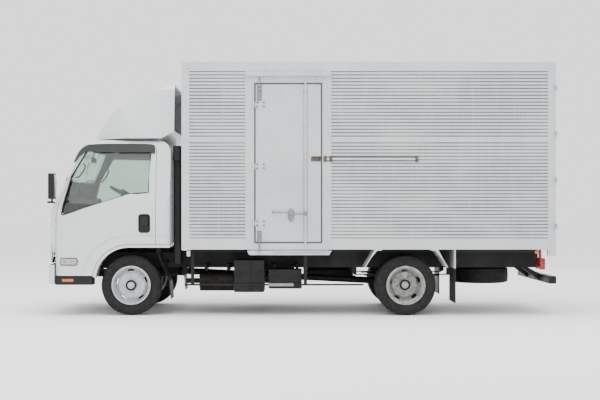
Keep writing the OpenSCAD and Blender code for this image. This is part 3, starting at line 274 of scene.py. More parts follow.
def tyre_rubber(name, hub):
    """Black road rubber: ribs round the sidewall, blocks across the tread, and grey dust."""
    f = Finish(name, "08080A", "101011", 60, 0.72, 0.08)
    out_x = f.both(f.axes.outputs[0], hub.x, "SUBTRACT")
    out_z = f.both(f.axes.outputs[2], hub.z, "SUBTRACT")
    radius = f.both(
        f.both(f.both(out_x, out_x), f.both(out_z, out_z), "ADD"), 0.5, "POWER"
    )
    angle = f.both(out_z, out_x, "ARCTAN2")
    side = f.ramp(radius, SIDEWALL_END, TREAD_START, 1.0, 0.0)
    tread = f.ramp(radius, SIDEWALL_END, TREAD_START)
    # moulded ribs 9 mm apart on the sidewall, and 84 blocks round the shoulder, 27 mm each
    rings = f.both(f.both(f.both(radius, math.tau / SIDEWALL_RIB), 0.0, "SINE"), side)
    blocks = f.both(f.both(f.both(angle, TREAD_BLOCKS), 0.0, "SINE"), tread)
    f.bump(rings, 0.6, 0.35).bump(f.ramp(blocks, -0.2, 0.2), 5.0, 0.8)
    f.bump(f.noise(2, 3), 0.1, 0.3)
    f.cover("35332F", f.ramp(f.noise(40, 6), 0.45, 0.75, 0.0, 0.45), 0.9)
    return f.done(IOR=1.52, Specular_IOR_Level=0.3)


front_rubber = tyre_rubber("front_tyre_rubber", front_hub)
rear_rubber = tyre_rubber("rear_tyre_rubber", rear_hub)

# Moulded black polypropylene: fine spark-eroded grain that takes the shine off
f = Finish("grained_black_plastic", "08090A", "0E0F10", 120, 0.52, 0.06)
f.bump(f.noise(1.8, 2), 0.12, 0.5).dust("45423C", 0.5, 0.3)
black_plastic = f.done(IOR=1.49, Specular_IOR_Level=0.35)

# Dash moulding in grey-green vinyl-skinned plastic, with a leather grain about 3 mm across
f = Finish("dash_vinyl", "1D2422", "181E1C", 150, 0.6, 0.05)
cells = add(f.tree, "ShaderNodeTexVoronoi", {"Scale": 330.0}, {"Vector": f.place})
dash_vinyl = f.bump(cells.outputs[0], 0.3, 0.5).done(IOR=1.5)

# Larch-faced plywood floor: long grain, scuffed and grey from loading
f = Finish("plywood", "9A7B55", "7F6242", 300, 0.65, 0.08)
f.cover("6B4F33", f.ramp(f.noise(7, 5, (40, 1, 1)), 0.5, 0.7, 0.0, 0.6))
f.cover("8B8375", f.ramp(f.noise(220, 6), 0.5, 0.7, 0.0, 0.7), 0.8)
# below its top ply the floor is sealed black, with its bearers
SEALED_TO, BARE_FROM = 0.8785, 0.879
f.cover("121314", f.ramp(f.axes.outputs[2], SEALED_TO, BARE_FROM, 1.0, 0.0), 0.6)
plywood = f.bump(f.noise(5, 4, (30, 1, 1)), 0.2, 0.5).done(IOR=1.5)

# Zinc-plated and hot-dip galvanised steel fittings: dull spangle, white bloom, rust at the welds
f = Finish("galvanised_steel", "8D9296", "6F7478", 22, 0.45, 0.1, 0.6)
f.cover("8B5E3E", f.ramp(f.noise(24, 6), 0.64, 0.74, 0.0, 0.75), 0.85)
galvanised = f.bump(f.noise(4, 3), 0.05, 0.4).done()

# Bare steel strip that has rusted along its edges
f = Finish("rusty_strip", "635C54", "43352A", 30, 0.75, 0.1, 0.3)
rusty_strip = f.bump(f.noise(3, 5), 0.25, 0.7).done()

# Extruded EPDM seal: dull brown-black, stained
f = Finish("seal_rubber", "150F0C", "2A1F19", 50, 0.75, 0.08)
seal_rubber = f.bump(f.noise(3, 3), 0.1, 0.4).done(IOR=1.5)

# Aluminised exhaust sheet: dull grey, heat-stained
f = Finish("aluminised_sheet", "1C1B1A", "121211", 80, 0.5, 0.1, 0.8)
f.cover("3A2C22", f.ramp(f.noise(50, 6), 0.52, 0.72, 0.0, 0.7), 0.85)
aluminised = f.bump(f.noise(6, 3), 0.1, 0.4).done()

# Woven seat cloth: grey yarns about 1.2 mm apart, drawn at 4 mm so that the weave shows
f = Finish("woven_seat_cloth", "5A5F63", "4B5054", 45, 0.85, 0.04)
warp, weft = (
    add(
        f.tree, "ShaderNodeTexWave",
        {"bands_direction": axis, "Scale": 78.0, "Distortion": 0.6}, {"Vector": f.place},
    ).outputs[1]
    for axis in "ZY"
)
f.cover("6D7378", f.ramp(f.both(warp, weft), 0.3, 0.9, 0.0, 0.6))
seat_cloth = f.bump(f.both(warp, weft, "ADD"), 0.5, 0.7).done(Sheen_Weight=0.4)

# Clear moulded polycarbonate: hard gloss with fine optic flutes
f = Finish("lamp_lens", "E8ECEE", "D6DBDE", 60, 0.08, 0.03)
flutes = add(
    f.tree, "ShaderNodeTexWave", {"bands_direction": "Z", "Scale": 35.0}, {"Vector": f.place}
).outputs[1]
lamp_lens = f.bump(flutes, 0.6, 0.5).done(IOR=1.58, Transmission_Weight=0.55)

# Chromed reflector bowl behind a lens
f = Finish("reflector_chrome", "D5D8DA", "B4B8BB", 40, 0.12, 0.04, 1.0)
reflector = f.bump(f.noise(9, 2), 0.1, 0.3).done()


def lamp_acrylic(name, colour, shade):
    """Dyed acrylic lamp lens: glossy outside, with a pyramid optic moulded inside."""
    f = Finish(name, colour, shade, 40, 0.16, 0.04)
    cells = add(
        f.tree, "ShaderNodeTexVoronoi", {"Scale": 190.0, "distance": "CHEBYCHEV"},
        {"Vector": f.place},
    )
    f.bump(cells.outputs[0], 0.8, 0.4)
    return f.done(IOR=1.49, Transmission_Weight=0.15, Coat_Weight=0.4)


red_acrylic = lamp_acrylic("red_lamp_acrylic", "A3161A", "7E0F13")
amber_acrylic = lamp_acrylic("amber_lamp_acrylic", "D9731C", "B85A12")
cream_acrylic = lamp_acrylic("cream_lamp_acrylic", "E4DFCB", "CFC9B2")

# Green-tinted laminated float glass: clear, flat, a film of dust
f = Finish("green_float_glass", "C9DCD3", "C0D5CB", 500, 0.02, 0.015)
green_glass = f.bump(f.noise(400, 1), 0.05, 0.1).done(IOR=1.52, Transmission_Weight=1.0)

# Silvered mirror glass
f = Finish("mirror_glass", "C9CED2", "C0C5C9", 80, 0.03, 0.01, 1.0)
mirror_glass = f.bump(f.noise(300, 1), 0.02, 0.1).done()

# Smoked acrylic rain visor: dark, glossy, a little see-through
f = Finish("smoked_acrylic", "1B1D20", "24272B", 200, 0.1, 0.03)
f.bump(f.noise(60, 1), 0.05, 0.15)
smoked_acrylic = f.done(IOR=1.49, Transmission_Weight=0.35, Coat_Weight=0.5)

# Grey powder coat on punched cover plates
f = Finish("grey_powder_coat", "8F9294", "808386", 90, 0.55, 0.06)
f.cover("5E5A52", f.ramp(f.noise(50, 6), 0.5, 0.72, 0.0, 0.5), 0.8)
grey_powder = f.bump(f.noise(2.5, 3), 0.08, 0.4).done(IOR=1.5)

# Rear guards: white stays above black polyethylene wings and flaps
f = Finish("wing_plastic_and_stays", "08090A", "0F1011", 140, 0.55, 0.07)
f.bump(f.noise(2.5, 2), 0.15, 0.5).dust(CHASSIS_DUST, 0.6, 0.35)
WING_HALF, STAY_FOOT, EDGE = 0.292, 0.574, 0.002
from_hub = f.both(f.both(f.axes.outputs[0], rear_hub.x, "SUBTRACT"), 0.0, "ABSOLUTE")
stays = f.both(
    f.ramp(from_hub, WING_HALF, WING_HALF + EDGE),
    f.ramp(f.axes.outputs[2], STAY_FOOT, STAY_FOOT + EDGE),
)
f.cover("D2D4D4", stays, 0.4)
wings_and_stays = f.done(IOR=1.5, Specular_IOR_Level=0.35)

# ------------ carried-over nodes' finishes

NODES_BY_FINISH = (
    (chassis_black, "chassis_frame leaf_springs fuel_tank battery_box tool_box side_guards"),
    (chassis_black, "underrun_bar"),
    (cast_iron, "engine propshaft front_axle rear_axle track_rod"),
    (cast_iron, "front_left_knuckle front_right_knuckle"),
    (black_plastic, "side_steps front_mudguards air_intake cab_grille mirrors steering_wheel"),
    (aluminised, "muffler"),
    (wings_and_stays, "rear_mudguards"),
    (rear_rubber, "spare_wheel rear_left_tyres rear_right_tyres"),
    (front_rubber, "front_left_tyre front_right_tyre"),
    (wheel_silver, "front_left_wheel front_right_wheel"),
    (dusty_silver, "rear_left_wheels rear_right_wheels"),
    (red_acrylic, "tail_lamps"),
    (lamp_lens, "front_lamps"),
    (white_enamel, "front_bumper cab_arch_trims roof_fairing"),
    (enamel_and_trim, "cab_shell cab_door_left cab_door_right"),
    (green_glass, "cab_glass door_glass_left door_glass_right"),
    (dash_vinyl, "dashboard"),
    (plywood, "box_floor"),
    (painted_sections, "box_frame rear_frame rear_door_left rear_door_right"),
    (coated_sheet, "box_left_wall box_right_wall"),
    (plain_sheet, "box_front_wall box_roof"),
    (streaked_paint, "side_door_frame side_door"),
)
for material, names in NODES_BY_FINISH:
    for name in names.split():
        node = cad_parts[name]
        node.data.materials.clear()
        node.data.materials.append(material)

# ------------ tools


def take(piece):
    """Selects one piece alone and makes it active."""
    bpy.ops.object.select_all(action="DESELECT")
    piece.select_set(True)
    bpy.context.view_layer.objects.active = piece
    return piece


def applied(piece):
    """Selects one piece alone and applies its place, turn and scale."""
    take(piece)
    bpy.ops.object.transform_apply(location=True, rotation=True, scale=True)
    return piece


def open_up():
    """Goes into edit mode with everything selected."""
    bpy.ops.object.mode_set(mode="EDIT")
    bpy.ops.mesh.select_all(action="SELECT")


def close_up(name):
    """Back to object mode, with the piece named."""
    bpy.ops.object.mode_set(mode="OBJECT")
    piece = bpy.context.object
    piece.name = piece.data.name = name
    return piece


def settle(piece, body, material, smooth=35):
    """Applies the place, gives the finish and lets the piece ride on its body."""
    applied(piece)
    bpy.ops.object.shade_smooth_by_angle(angle=math.radians(smooth))
    piece.data.materials.clear()
    piece.data.materials.append(material)
    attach(piece, body)
    return piece


def block(name, low, high, edge_mm=3, steps=2):
    """A rounded block between two corners."""
    low, high = Vector(low), Vector(high)
    bpy.ops.object.select_all(action="DESELECT")
    bpy.ops.mesh.primitive_cube_add(size=1, location=(low + high) / 2)
    bpy.context.object.scale = high - low
    bpy.ops.object.transform_apply(location=False, rotation=False, scale=True)
    open_up()
    bpy.ops.mesh.bevel(offset=edge_mm / 1000, segments=steps, affect="EDGES")
    return close_up(name)


def trace(points):
    """Starts a mesh in edit mode with a chain of edges through the points."""
    points = [Vector(p) for p in points]
    bpy.ops.object.select_all(action="DESELECT")
    bpy.ops.mesh.primitive_plane_add(size=0.01, location=points[0])
    open_up()
    bpy.ops.mesh.merge(type="CENTER")
    for a, b in zip(points, points[1:]):
        bpy.ops.mesh.extrude_region_move(TRANSFORM_OT_translate={"value": b - a})
    bpy.ops.mesh.select_all(action="SELECT")
    bpy.ops.mesh.remove_doubles(threshold=0.0001)


def plate(name, points, thick, edge_mm=0.0):
    """A flat outline given a thickness, with its edges eased."""
    trace(list(points) + [points[0]])
    bpy.ops.mesh.edge_face_add()
    bpy.ops.mesh.extrude_region_move(TRANSFORM_OT_translate={"value": Vector(thick)})
    bpy.ops.mesh.select_all(action="SELECT")
    bpy.ops.mesh.normals_make_consistent(inside=False)
    if edge_mm:
        bpy.ops.mesh.bevel(offset=edge_mm / 1000, segments=2, affect="EDGES")
    return close_up(name)


def tube(name, points, radius_mm, closed=False, sides=3):
    """A round bar or bead that follows the points."""
    trace(list(points) + ([points[0]] if closed else []))
    close_up(name)
    bpy.ops.object.convert(target="CURVE")
    curve = bpy.context.object.data
    curve.bevel_depth = radius_mm / 1000
    curve.bevel_resolution = sides
    curve.use_fill_caps = not closed
    bpy.ops.object.convert(target="MESH")
    piece = bpy.context.object
    open_up()
    bpy.ops.mesh.remove_doubles(threshold=0.00005)
    bpy.ops.mesh.normals_make_consistent(inside=False)
    return close_up(name)


def turned(name, profile, centre, axis, steps=24):
    """A shape turned on a lathe: profile is (along, radius) pairs in mm, from end to end."""
    axis, centre = Vector(axis), Vector(centre)
    across = Vector((0, 0, 1)) if abs(axis.z) < 0.5 else Vector((1, 0, 0))
    trace([centre + axis * a / 1000 + across * r / 1000 for a, r in profile])
    bpy.ops.mesh.spin(steps=steps, angle=math.tau, center=centre, axis=axis)
    bpy.ops.mesh.select_all(action="SELECT")
    bpy.ops.mesh.remove_doubles(threshold=0.00005)
    bpy.ops.mesh.normals_make_consistent(inside=False)
    return close_up(name)


def joined(name, made):
    """Several pieces made one."""
    take(made[0])
    for other in made[1:]:
        other.select_set(True)
    bpy.ops.object.join()
    piece = bpy.context.object
    piece.name = piece.data.name = name
    return piece


def row(piece, name, step, count):
    """The piece repeated in a row."""
    take(piece)
    array = piece.modifiers.new("row", "ARRAY")
    array.use_relative_offset, array.use_constant_offset = False, True
    array.constant_offset_displace, array.count = step, count
    bpy.ops.object.modifier_apply(modifier="row")
    piece.name = piece.data.name = name
    return piece


def other_side(piece, name, body, material, smooth=35):
    """The piece's mirror image on the truck's right, facing outwards again."""
    take(piece)
    other = piece.copy()
    other.data = piece.data.copy()
    bpy.context.collection.objects.link(other)
    other.parent = None
    other.matrix_world = Matrix.Identity(4)
    take(other)
    open_up()
    bpy.ops.transform.mirror(constraint_axis=(False, True, False), center_override=(0, 0, 0))
    bpy.ops.mesh.normals_make_consistent(inside=False)
    close_up(name)
    return settle(other, body, material, smooth)


def both_of(piece, stem, body, material, smooth=35, far_body=None):
    """Settles a near-side piece and its mirror image, on the same body or on the far one."""
    piece.name = piece.data.name = stem + "_left"
    settle(piece, body, material, smooth)
    other_side(piece, stem + "_right", far_body or body, material, smooth)


def both_doors(piece, stem, material):
    """Settles a near cab-door piece and its mirror image on the far door."""
    both_of(piece, stem, "cab_door_left", material, far_body="cab_door_right")


def rivet(x, z, radius_mm=4.5, proud_mm=2.2):
    """One domed rivet head on the box's near face."""
    dome = [(0, radius_mm), (proud_mm * 0.6, radius_mm * 0.85), (proud_mm, 0)]
    return turned("rivet", dome, near(x, SUNK, z), OUT, 8)


# ------------ camera, floor and light

EYE, LENS_MM, SENSOR_MM, RAISED, SEES_TO = (0, -14.0, 1.21), 64.45, 36, 16 / 600, 300
bpy.ops.object.camera_add(location=EYE, rotation=(math.radians(90), 0, 0))
camera = bpy.context.object
camera.data.lens, camera.data.sensor_width = LENS_MM, SENSOR_MM
camera.data.shift_y, camera.data.clip_end = RAISED, SEES_TO
bpy.context.scene.camera = camera

bpy.ops.object.select_all(action="DESELECT")
bpy.ops.mesh.primitive_circle_add(vertices=64, radius=90, fill_type="NGON")
floor = bpy.context.object
floor.name = "studio_floor"
# Matt white studio paper, very slightly mottled
floor.data.materials.append(Finish("studio_paper", "FFFFFF", "FBFBFB", 3000, 0.9, 0.05).done())

world = bpy.data.worlds.new("studio")
bpy.context.scene.world = world
world.use_nodes = True
world.node_tree.nodes["Background"].inputs[0].default_value = (1, 1, 1, 1)
world.node_tree.nodes["Background"].inputs[1].default_value = 1.7


def softbox(name, place, aim, size, watts):
    """A soft square lamp that looks at a point."""
    bpy.ops.object.light_add(type="AREA", location=place)
    lamp = bpy.context.object
    lamp.name = name
    lamp.data.shape, lamp.data.size, lamp.data.energy = "SQUARE", size, watts
    lamp.rotation_euler = (Vector(aim) - Vector(place)).to_track_quat("-Z", "Y").to_euler()


softbox("top_light", (0, -2, 9), (0, 0, 0), 8, 1000)
softbox("side_light", (-3, -11, 6), (0, 0, 1.4), 6, 150)
softbox("far_light", (4, 11, 6), (0, 0, 1.4), 6, 120)

# ------------ box: rivets, caps, laps and lamps

RIVET_STEP, POST_RIVET_STEP = 0.039, 0.078
WALL_FRONT, WALL_REAR = -1.39, 3.05
for z, x0, x1, name in (
    (2.977, WALL_FRONT, WALL_REAR, "top_rail_rivets"),
    (0.859, WALL_FRONT, WALL_REAR, "bottom_rail_rivets"),
    (0.932, WALL_FRONT, -0.70, "lower_wall_rivets_front"),
    (0.932, 0.41, WALL_REAR, "lower_wall_rivets_rear"),
):
    count = int((x1 - x0) / RIVET_STEP) + 1
    line = row(rivet(x0, z), name, (RIVET_STEP, 0, 0), count)
    both_of(line, name, "truck", painted_sections, 60)

post = row(rivet(-1.345, 1.0), "front_post_rivets", (0, 0, POST_RIVET_STEP), 25)
both_of(post, "front_post_rivets", "truck", painted_sections, 60)

caps = [
    block("cap", near(x0, 0.002, 2.962), near(x0 + 0.106, -0.075, 3.0722), 9, 3)
    for x0 in (box_low.x - 0.0015, box_high.x - 0.1045)
]
caps += [
    turned("cap_bolt", [(0, 9), (3, 8), (4.5, 4), (5, 0)], near(x, 0.0015, z), OUT, 10)
    for x, z in ((-1.345, 2.985), (2.99, 2.981), (-1.345, 3.045), (2.99, 3.045))
]
both_of(joined("corner_caps", caps), "corner_caps", "truck", painted_sections)

laps = [
    block("lap", near(x0, 0.0012, 2.118), near(x1, -0.004, 2.142), 0.6, 1)
    for x0, x1 in ((-1.335, -0.665), (0.381, 2.985))
]
both_of(joined("sheet_lap", laps), "sheet_lap", "truck", painted_sections)

# round amber marker behind the rear wheel, and a cream one at the front corner, on brackets
marker = turned(
    "amber_marker", [(0, 0), (0, 22), (8, 22), (14, 18), (18, 9), (19, 0)],
    near(2.856, -0.028, 0.775), OUT, 20,
)
both_of(marker, "amber_marker", "truck", amber_acrylic)
bracket = block("marker_bracket", near(2.838, -0.026, 0.75), near(2.874, -0.032, 0.812), 2)
both_of(bracket, "marker_bracket", "truck", chassis_black)
marker = block("cream_marker", near(-1.367, -0.002, 0.722), near(-1.325, -0.032, 0.790), 9, 3)
both_of(marker, "cream_marker", "truck", cream_acrylic)
bracket = block("cream_bracket", near(-1.356, -0.030, 0.73), near(-1.336, -0.036, 0.812), 2)
both_of(bracket, "cream_marker_bracket", "truck", chassis_black)

# ------------ side door: seal, bolts, latch

DOOR_FRONT, DOOR_REAR, DOOR_FOOT, DOOR_HEAD = -0.5405, 0.2565, 0.894, 2.804
corners = [
    near(x, -SUNK, z)
    for x, z in ((DOOR_FRONT, DOOR_FOOT), (DOOR_REAR, DOOR_FOOT),
                 (DOOR_REAR, DOOR_HEAD), (DOOR_FRONT, DOOR_HEAD))
]
seal = tube("side_door_seal", corners, 8, True)
settle(seal, "side_door", seal_rubber)

# the lock rod's channel, bent up from one strip: X from the rod, and how far it stands proud
ROD_X, CHANNEL_FOOT, CHANNEL_RISE = 0.0655, 0.945, (0, 0, 1.80)
CHANNEL = (
    (-0.029, SUNK), (0.029, SUNK), (0.029, 0.012), (0.026, 0.012),
    (0.026, 0.004), (-0.026, 0.004), (-0.026, 0.012), (-0.029, 0.012),
)
outline = [near(ROD_X + x, proud, CHANNEL_FOOT) for x, proud in CHANNEL]
channel = plate("lock_rod_channel", outline, CHANNEL_RISE, 0.6)
settle(channel, "side_door", painted_sections)

fittings = [
    turned("strap_bolt", [(0, 11), (4, 11), (6, 8), (7, 0)],
           (x, skin("side_door", x, z + s), z + s), OUT, 8)
    for z in (1.122, 1.810, 2.553) for x in (-0.515, -0.435) for s in (-0.024, 0.024)
]
settle(joined("strap_bolts", fittings), "side_door", rusty_strip)

BOLT_X, LEAF_FOOT, LEAF_HEAD = -0.49, 0.896, 2.802
for z0, z1, name in ((2.601, 2.882, "upper"), (0.759, 1.033, "lower")):
    foot, head = max(z0, LEAF_FOOT), min(z1, LEAF_HEAD)
    middle = (foot + head) / 2
    parts = [
        block("bolt_plate", near(-0.52, 0.004, foot), near(-0.46, SUNK, head), 2),
        tube("bolt_rod", [near(BOLT_X, 0.018, z0), near(BOLT_X, 0.018, z1)], 9),
        tube("bolt_grip", [near(BOLT_X, 0.018, middle), near(BOLT_X, 0.032, middle + 0.004)], 6),
    ]
    for z in (foot + 0.012, middle + 0.025, head - 0.034):
        parts.append(block("bolt_guide", near(-0.512, 0.031, z), near(-0.468, 0.003, z + 0.022), 5))
    settle(joined(name + "_cane_bolt", parts), "side_door", galvanised)

# oval lock case, its handle to the left with a round knob, and the arm to the rod
LOCK_X, LOCK_Z, OVAL = -0.1075, 1.222, (1, 1, 2.1)
case = turned("lock_case", [(0, 0), (0, 40), (14, 40), (20, 34), (22, 12), (26, 10), (34, 0)],
              near(LOCK_X, SUNK, LOCK_Z), OUT, 24)
take(case)
open_up()
bpy.ops.transform.resize(value=OVAL, center_override=near(LOCK_X, 0, LOCK_Z))
case = close_up("lock_case")
handle = tube("lock_handle", [near(-0.31, 0.036, 1.256), near(-0.15, 0.036, 1.250),
                              near(-0.10, 0.030, 1.236), near(ROD_X, 0.034, 1.236)], 9)
knob = turned("lock_knob", [(-20, 0), (-18, 9), (-9, 17), (0, 20), (9, 17), (18, 9), (20, 0)],
              near(-0.3176, 0.036, 1.256), BACKWARD, 16)
collar = turned("rod_collar", [(-24, 12), (-24, 19), (24, 19), (24, 12), (-24, 12)],
                near(ROD_X, 0.020, 1.236), UP, 16)
lock = joined("door_lock", [case, handle, knob, collar])
settle(lock, "side_door", galvanised)

# flat bar that bolts the door shut: a short part on the door and a long one on the wall
clasp = [block("clasp", near(0.133, 0.009, 1.868), near(0.258, SUNK, 1.930), 3)]
clasp += [
    turned("clasp_bolt", [(0, 10), (5, 10), (8, 6), (9, 0)], near(x, 0.0085, z), OUT, 8)
    for x in (0.155, 0.235) for z in (1.882, 1.916)
]
LOOP_X = 0.195
loop = [near(LOOP_X, 0.008, 1.885), near(LOOP_X, 0.034, 1.890),
        near(LOOP_X, 0.034, 1.908), near(LOOP_X, 0.008, 1.913)]
clasp.append(tube("clasp_loop", loop, 5))
settle(joined("door_clasp", clasp), "side_door", rusty_strip)

BAR_X, BAR_RUN = 0.282, (1.146, 0, 0)
BAR = ((SUNK, 1.874), (0.012, 1.874), (0.012, 1.880), (0.005, 1.882),
       (0.005, 1.915), (0.012, 1.917), (0.012, 1.923), (SUNK, 1.923))
bar = plate("wall_bar", [near(BAR_X, proud, z) for proud, z in BAR], BAR_RUN, 0.8)
ends = [block("bar_end", near(x, 0.010, 1.862), near(x + 0.040, SUNK, 1.935), 3)
        for x in (0.284, 0.352, 1.388)]
settle(joined("wall_bar", [bar] + ends), "truck", rusty_strip)
core = block("wall_bar_face", near(0.30, 0.0075, 1.884), near(1.40, 0.004, 1.913), 1)
settle(core, "truck", painted_sections)

# step board under the door, with its row of punched grip collars
BOARD, BOARD_DEPTH = ((-0.640, 0.792), (-0.610, 0.738), (0.352, 0.738), (0.382, 0.792)), 0.16
board = plate("step_board", [near(x, -0.006, z) for x, z in BOARD], (0, BOARD_DEPTH, 0), 4)
tongue = block("board_tongue", near(-0.60, -0.03, 0.78), near(0.34, -0.10, 0.812), 3)
settle(joined("step_board", [board, tongue]), "truck", painted_sections)
GRIP_STEP, GRIP_COUNT = 0.029, 22
collar = turned("grip_collar", [(0, 11), (4, 9), (4, 6), (0, 5)],
                near(-0.32, -0.0065, 0.768), OUT, 10)
grips = row(collar, "step_grip", (GRIP_STEP, 0, 0), GRIP_COUNT)
settle(grips, "truck", galvanised)

# grey punched sleeve on the guard pipe
PUNCH_STEP, PUNCHED = 14, 20
sleeve = [(0, 11.5), (0, 19), (6, 21)]
sleeve += [(6 + PUNCH_STEP * k + s, r) for k in range(PUNCHED) for s, r in ((7, 18.5), (14, 21))]
sleeve += [(300, 19), (306, 11.5), (0, 11.5)]
sleeve = turned("guard_sleeve", sleeve, (-0.382, -0.940, 0.375), BACKWARD, 16)
settle(sleeve, "truck", grey_powder)

# ------------ lower gear: latches, air tank

SEAM_AT, LATCH_FROM, LATCH_TO = 0.57, 0.48, 0.66  # shares of the box's height
for name, x0, x1, z0, z1, y in (
    ("battery_box", -0.803, -0.436, 0.282, 0.670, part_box("battery_box")[0].y),
    ("tool_box", -0.382, 0.022, 0.324, 0.557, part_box("tool_box")[0].y),
):
    tall, middle, front, back = z1 - z0, (x0 + x1) / 2, y - 0.003, y + 0.004
    parts = [
        block("seam", (x0 + 0.002, front, z0 + tall * SEAM_AT),
              (x1 - 0.002, back, z0 + tall * SEAM_AT + 0.010), 1.5),
        block("upright", (middle + 0.018, front, z0 + 0.01),
              (middle + 0.026, back, z1 - 0.01), 1.5),
    ]
    for x in (x0 + 0.05, x1 - 0.05):
        parts += [
            block("latch", (x - 0.014, y - 0.012, z0 + tall * LATCH_FROM),
                  (x + 0.014, back, z0 + tall * LATCH_TO), 3),
            turned("foot_bolt", [(0, 8), (5, 8), (7, 0)], (x, y, z0 + 0.03), OUT, 8),
        ]
    settle(joined(name + "_latches", parts), "truck", chassis_black)

# compressed-air tank under the right rail, hung in two straps
TANK_Y, TANK_Z, STRAPS = 0.62, 0.465, (0.25, 0.57)
tank = turned(
    "air_tank",
    [(0, 0), (6, 60), (22, 96), (50, 110), (310, 110), (590, 110), (618, 96), (634, 60), (640, 0)],
    (0.09, TANK_Y, TANK_Z), BACKWARD, 32,
)
straps = [turned("strap", [(-14, 109), (-14, 113), (14, 113), (14, 109), (-14, 109)],
                 (x, TANK_Y, TANK_Z), BACKWARD, 32) for x in STRAPS]
hangers = [block("hanger", (x - 0.02, 0.39, 0.565), (x + 0.02, 0.64, 0.60), 3) for x in STRAPS]
settle(joined("air_tank", [tank] + straps + hangers), "truck", chassis_black)

# ------------ cab

CAB_SIDE = ("cab_door_left", "door_glass_left", "cab_shell", "cab_arch_trims", "front_lamps")
CAB_FRONT = ("cab_glass", "cab_shell", "cab_grille", "front_bumper")


def near_y(x, z):
    """Y of the outermost near-side cab face at x and z."""
    places = [meet(node, (x, -3, z), INWARD) for node in CAB_SIDE]
    return min((place.y for place in places if place and place.y < 0), default=None)


def front_x(y, z, nodes=CAB_FRONT):
    """X of the foremost cab face at y and z."""
    places = [meet(node, (-4, y, z), BACKWARD) for node in nodes]
    return min(place.x for place in places if place)


def on_side(x, z, gap):
    """A point that far outside the near-side cab skin."""
    return (x, near_y(x, z) - gap, z)


def on_front(y, z, gap):
    """A point that far in front of the cab."""
    return (front_x(y, z) - gap, y, z)


def rounded(low, high, r, steps=5):
    """An outline in the XZ plane, on y = 0, with rounded corners."""
    (x0, z0), (x1, z1) = low, high
    points = []
    for cx, cz, start in (
        (x1 - r, z1 - r, 0), (x0 + r, z1 - r, 90), (x0 + r, z0 + r, 180), (x1 - r, z0 + r, 270),
    ):
        for k in range(steps + 1):
            a = math.radians(start + 90 * k / steps)
            points.append((cx + r * math.cos(a), 0, cz + r * math.sin(a)))
    return points


def at_skin(piece):
    """Lays a near-side piece that was made on y = 0 on the cab's skin, corner by corner."""
    applied(piece)
    last = near_y(piece.data.vertices[0].co.x, piece.data.vertices[0].co.z) or 0.0
    for corner in piece.data.vertices:
        place = near_y(corner.co.x, corner.co.z)
        last = place if place is not None else last
        corner.co.y += last
    return piece


# black strip where the fairing stands on the roof
STRIP_START, STRIP_STEP, STRIP_Z, PROBE_Z = -1.56, 0.045, 2.152, 2.165
strip = []
for k in range(22):
    x = STRIP_START - STRIP_STEP * k
    place = meet("roof_fairing", (x, -3, PROBE_Z), INWARD)
    if place and place.y < -0.3:
        strip.append((x, place.y - 0.001, STRIP_Z))
both_of(tube("fairing_strip", strip, 6.5), "fairing_strip", "cab", seal_rubber)

# side turn lamp: black frame, clear lens, two amber bulbs
outline = rounded((-2.906, 0.609), (-2.692, 0.703), 0.028)
surround = plate("turn_lamp_frame", outline, (0, -0.007, 0), 2.5)
both_doors(at_skin(surround), "turn_lamp_frame", black_plastic)
outline = rounded((-2.896, 0.619), (-2.702, 0.693), 0.020)
lens = plate("turn_lamp_lens", outline, (0, -0.012, 0), 3)
both_doors(at_skin(lens), "turn_lamp_lens", lamp_lens)
bulbs = [turned("bulb", [(0, 0), (0, 20), (8, 17), (12, 8), (13.5, 0)], (x, 0, 0.656), OUT, 16)
         for x in (-2.852, -2.765)]
bulbs = joined("turn_lamp_bulbs", bulbs)
both_doors(at_skin(bulbs), "turn_lamp_bulbs", amber_acrylic)

# door handle: a black pocket with a grip across it and a lock below
outline = rounded((-1.958, 1.005), (-1.814, 1.234), 0.035)
pocket = plate("handle_pocket", outline, (0, -0.004, 0))
take(pocket)
open_up()
bpy.ops.mesh.select_all(action="DESELECT")
bpy.ops.object.mode_set(mode="OBJECT")
for face in pocket.data.polygons:
    face.select = face.normal.y < -0.9
bpy.ops.object.mode_set(mode="EDIT")
bpy.ops.mesh.inset(thickness=0.010, depth=0.004)
bpy.ops.mesh.inset(thickness=0.008, depth=-0.007)
pocket = close_up("handle_pocket")
grip = block("handle_grip", (-1.934, -0.020, 1.085), (-1.838, -0.001, 1.200), 8, 3)
lock = turned("handle_lock", [(0, 10), (7, 10), (8, 6), (6.5, 5), (6.5, 0)],
              (-1.886, -0.001, 1.040), OUT, 16)
handle = joined("door_handle", [pocket, grip, lock])
both_doors(at_skin(handle), "door_handle", black_plastic)

# pressed line that runs round the wheel arch
CREASE = (
    (-2.6245, 0.589), (-2.585, 0.680), (-2.5325, 0.772), (-2.470, 0.838), (-2.4006, 0.8906),
    (-2.325, 0.926), (-2.2433, 0.950), (-2.165, 0.962), (-2.086, 0.969), (-1.92, 0.976),
    (-1.772, 0.981),
)
crease = tube("arch_crease", [on_side(x, z, -0.0015) for x, z in CREASE], 5)
both_doors(crease, "arch_crease", white_enamel)

# amber reflector on the black sill
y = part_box("side_steps")[0].y
reflex = block("sill_reflector", (-2.883, y - 0.006, 0.413), (-2.744, y + 0.002, 0.448), 4)
both_of(reflex, "sill_reflector", "truck", amber_acrylic)


def between(name, first, second, thick_mm):
    """A thin sheet between two lines that have as many points each."""
    trace(second)
    other = close_up("second_line")
    trace(first)
    piece = joined(name, [close_up(name), other])
    open_up()
    bpy.ops.mesh.bridge_edge_loops()
    bpy.ops.mesh.subdivide(number_cuts=2, smoothness=0.5)
    bpy.ops.mesh.normals_make_consistent(inside=False)
    piece = close_up(name)
    wall = piece.modifiers.new("wall", "SOLIDIFY")
    wall.thickness, wall.offset = thick_mm / 1000, 0
    bpy.ops.object.modifier_apply(modifier="wall")
    return piece


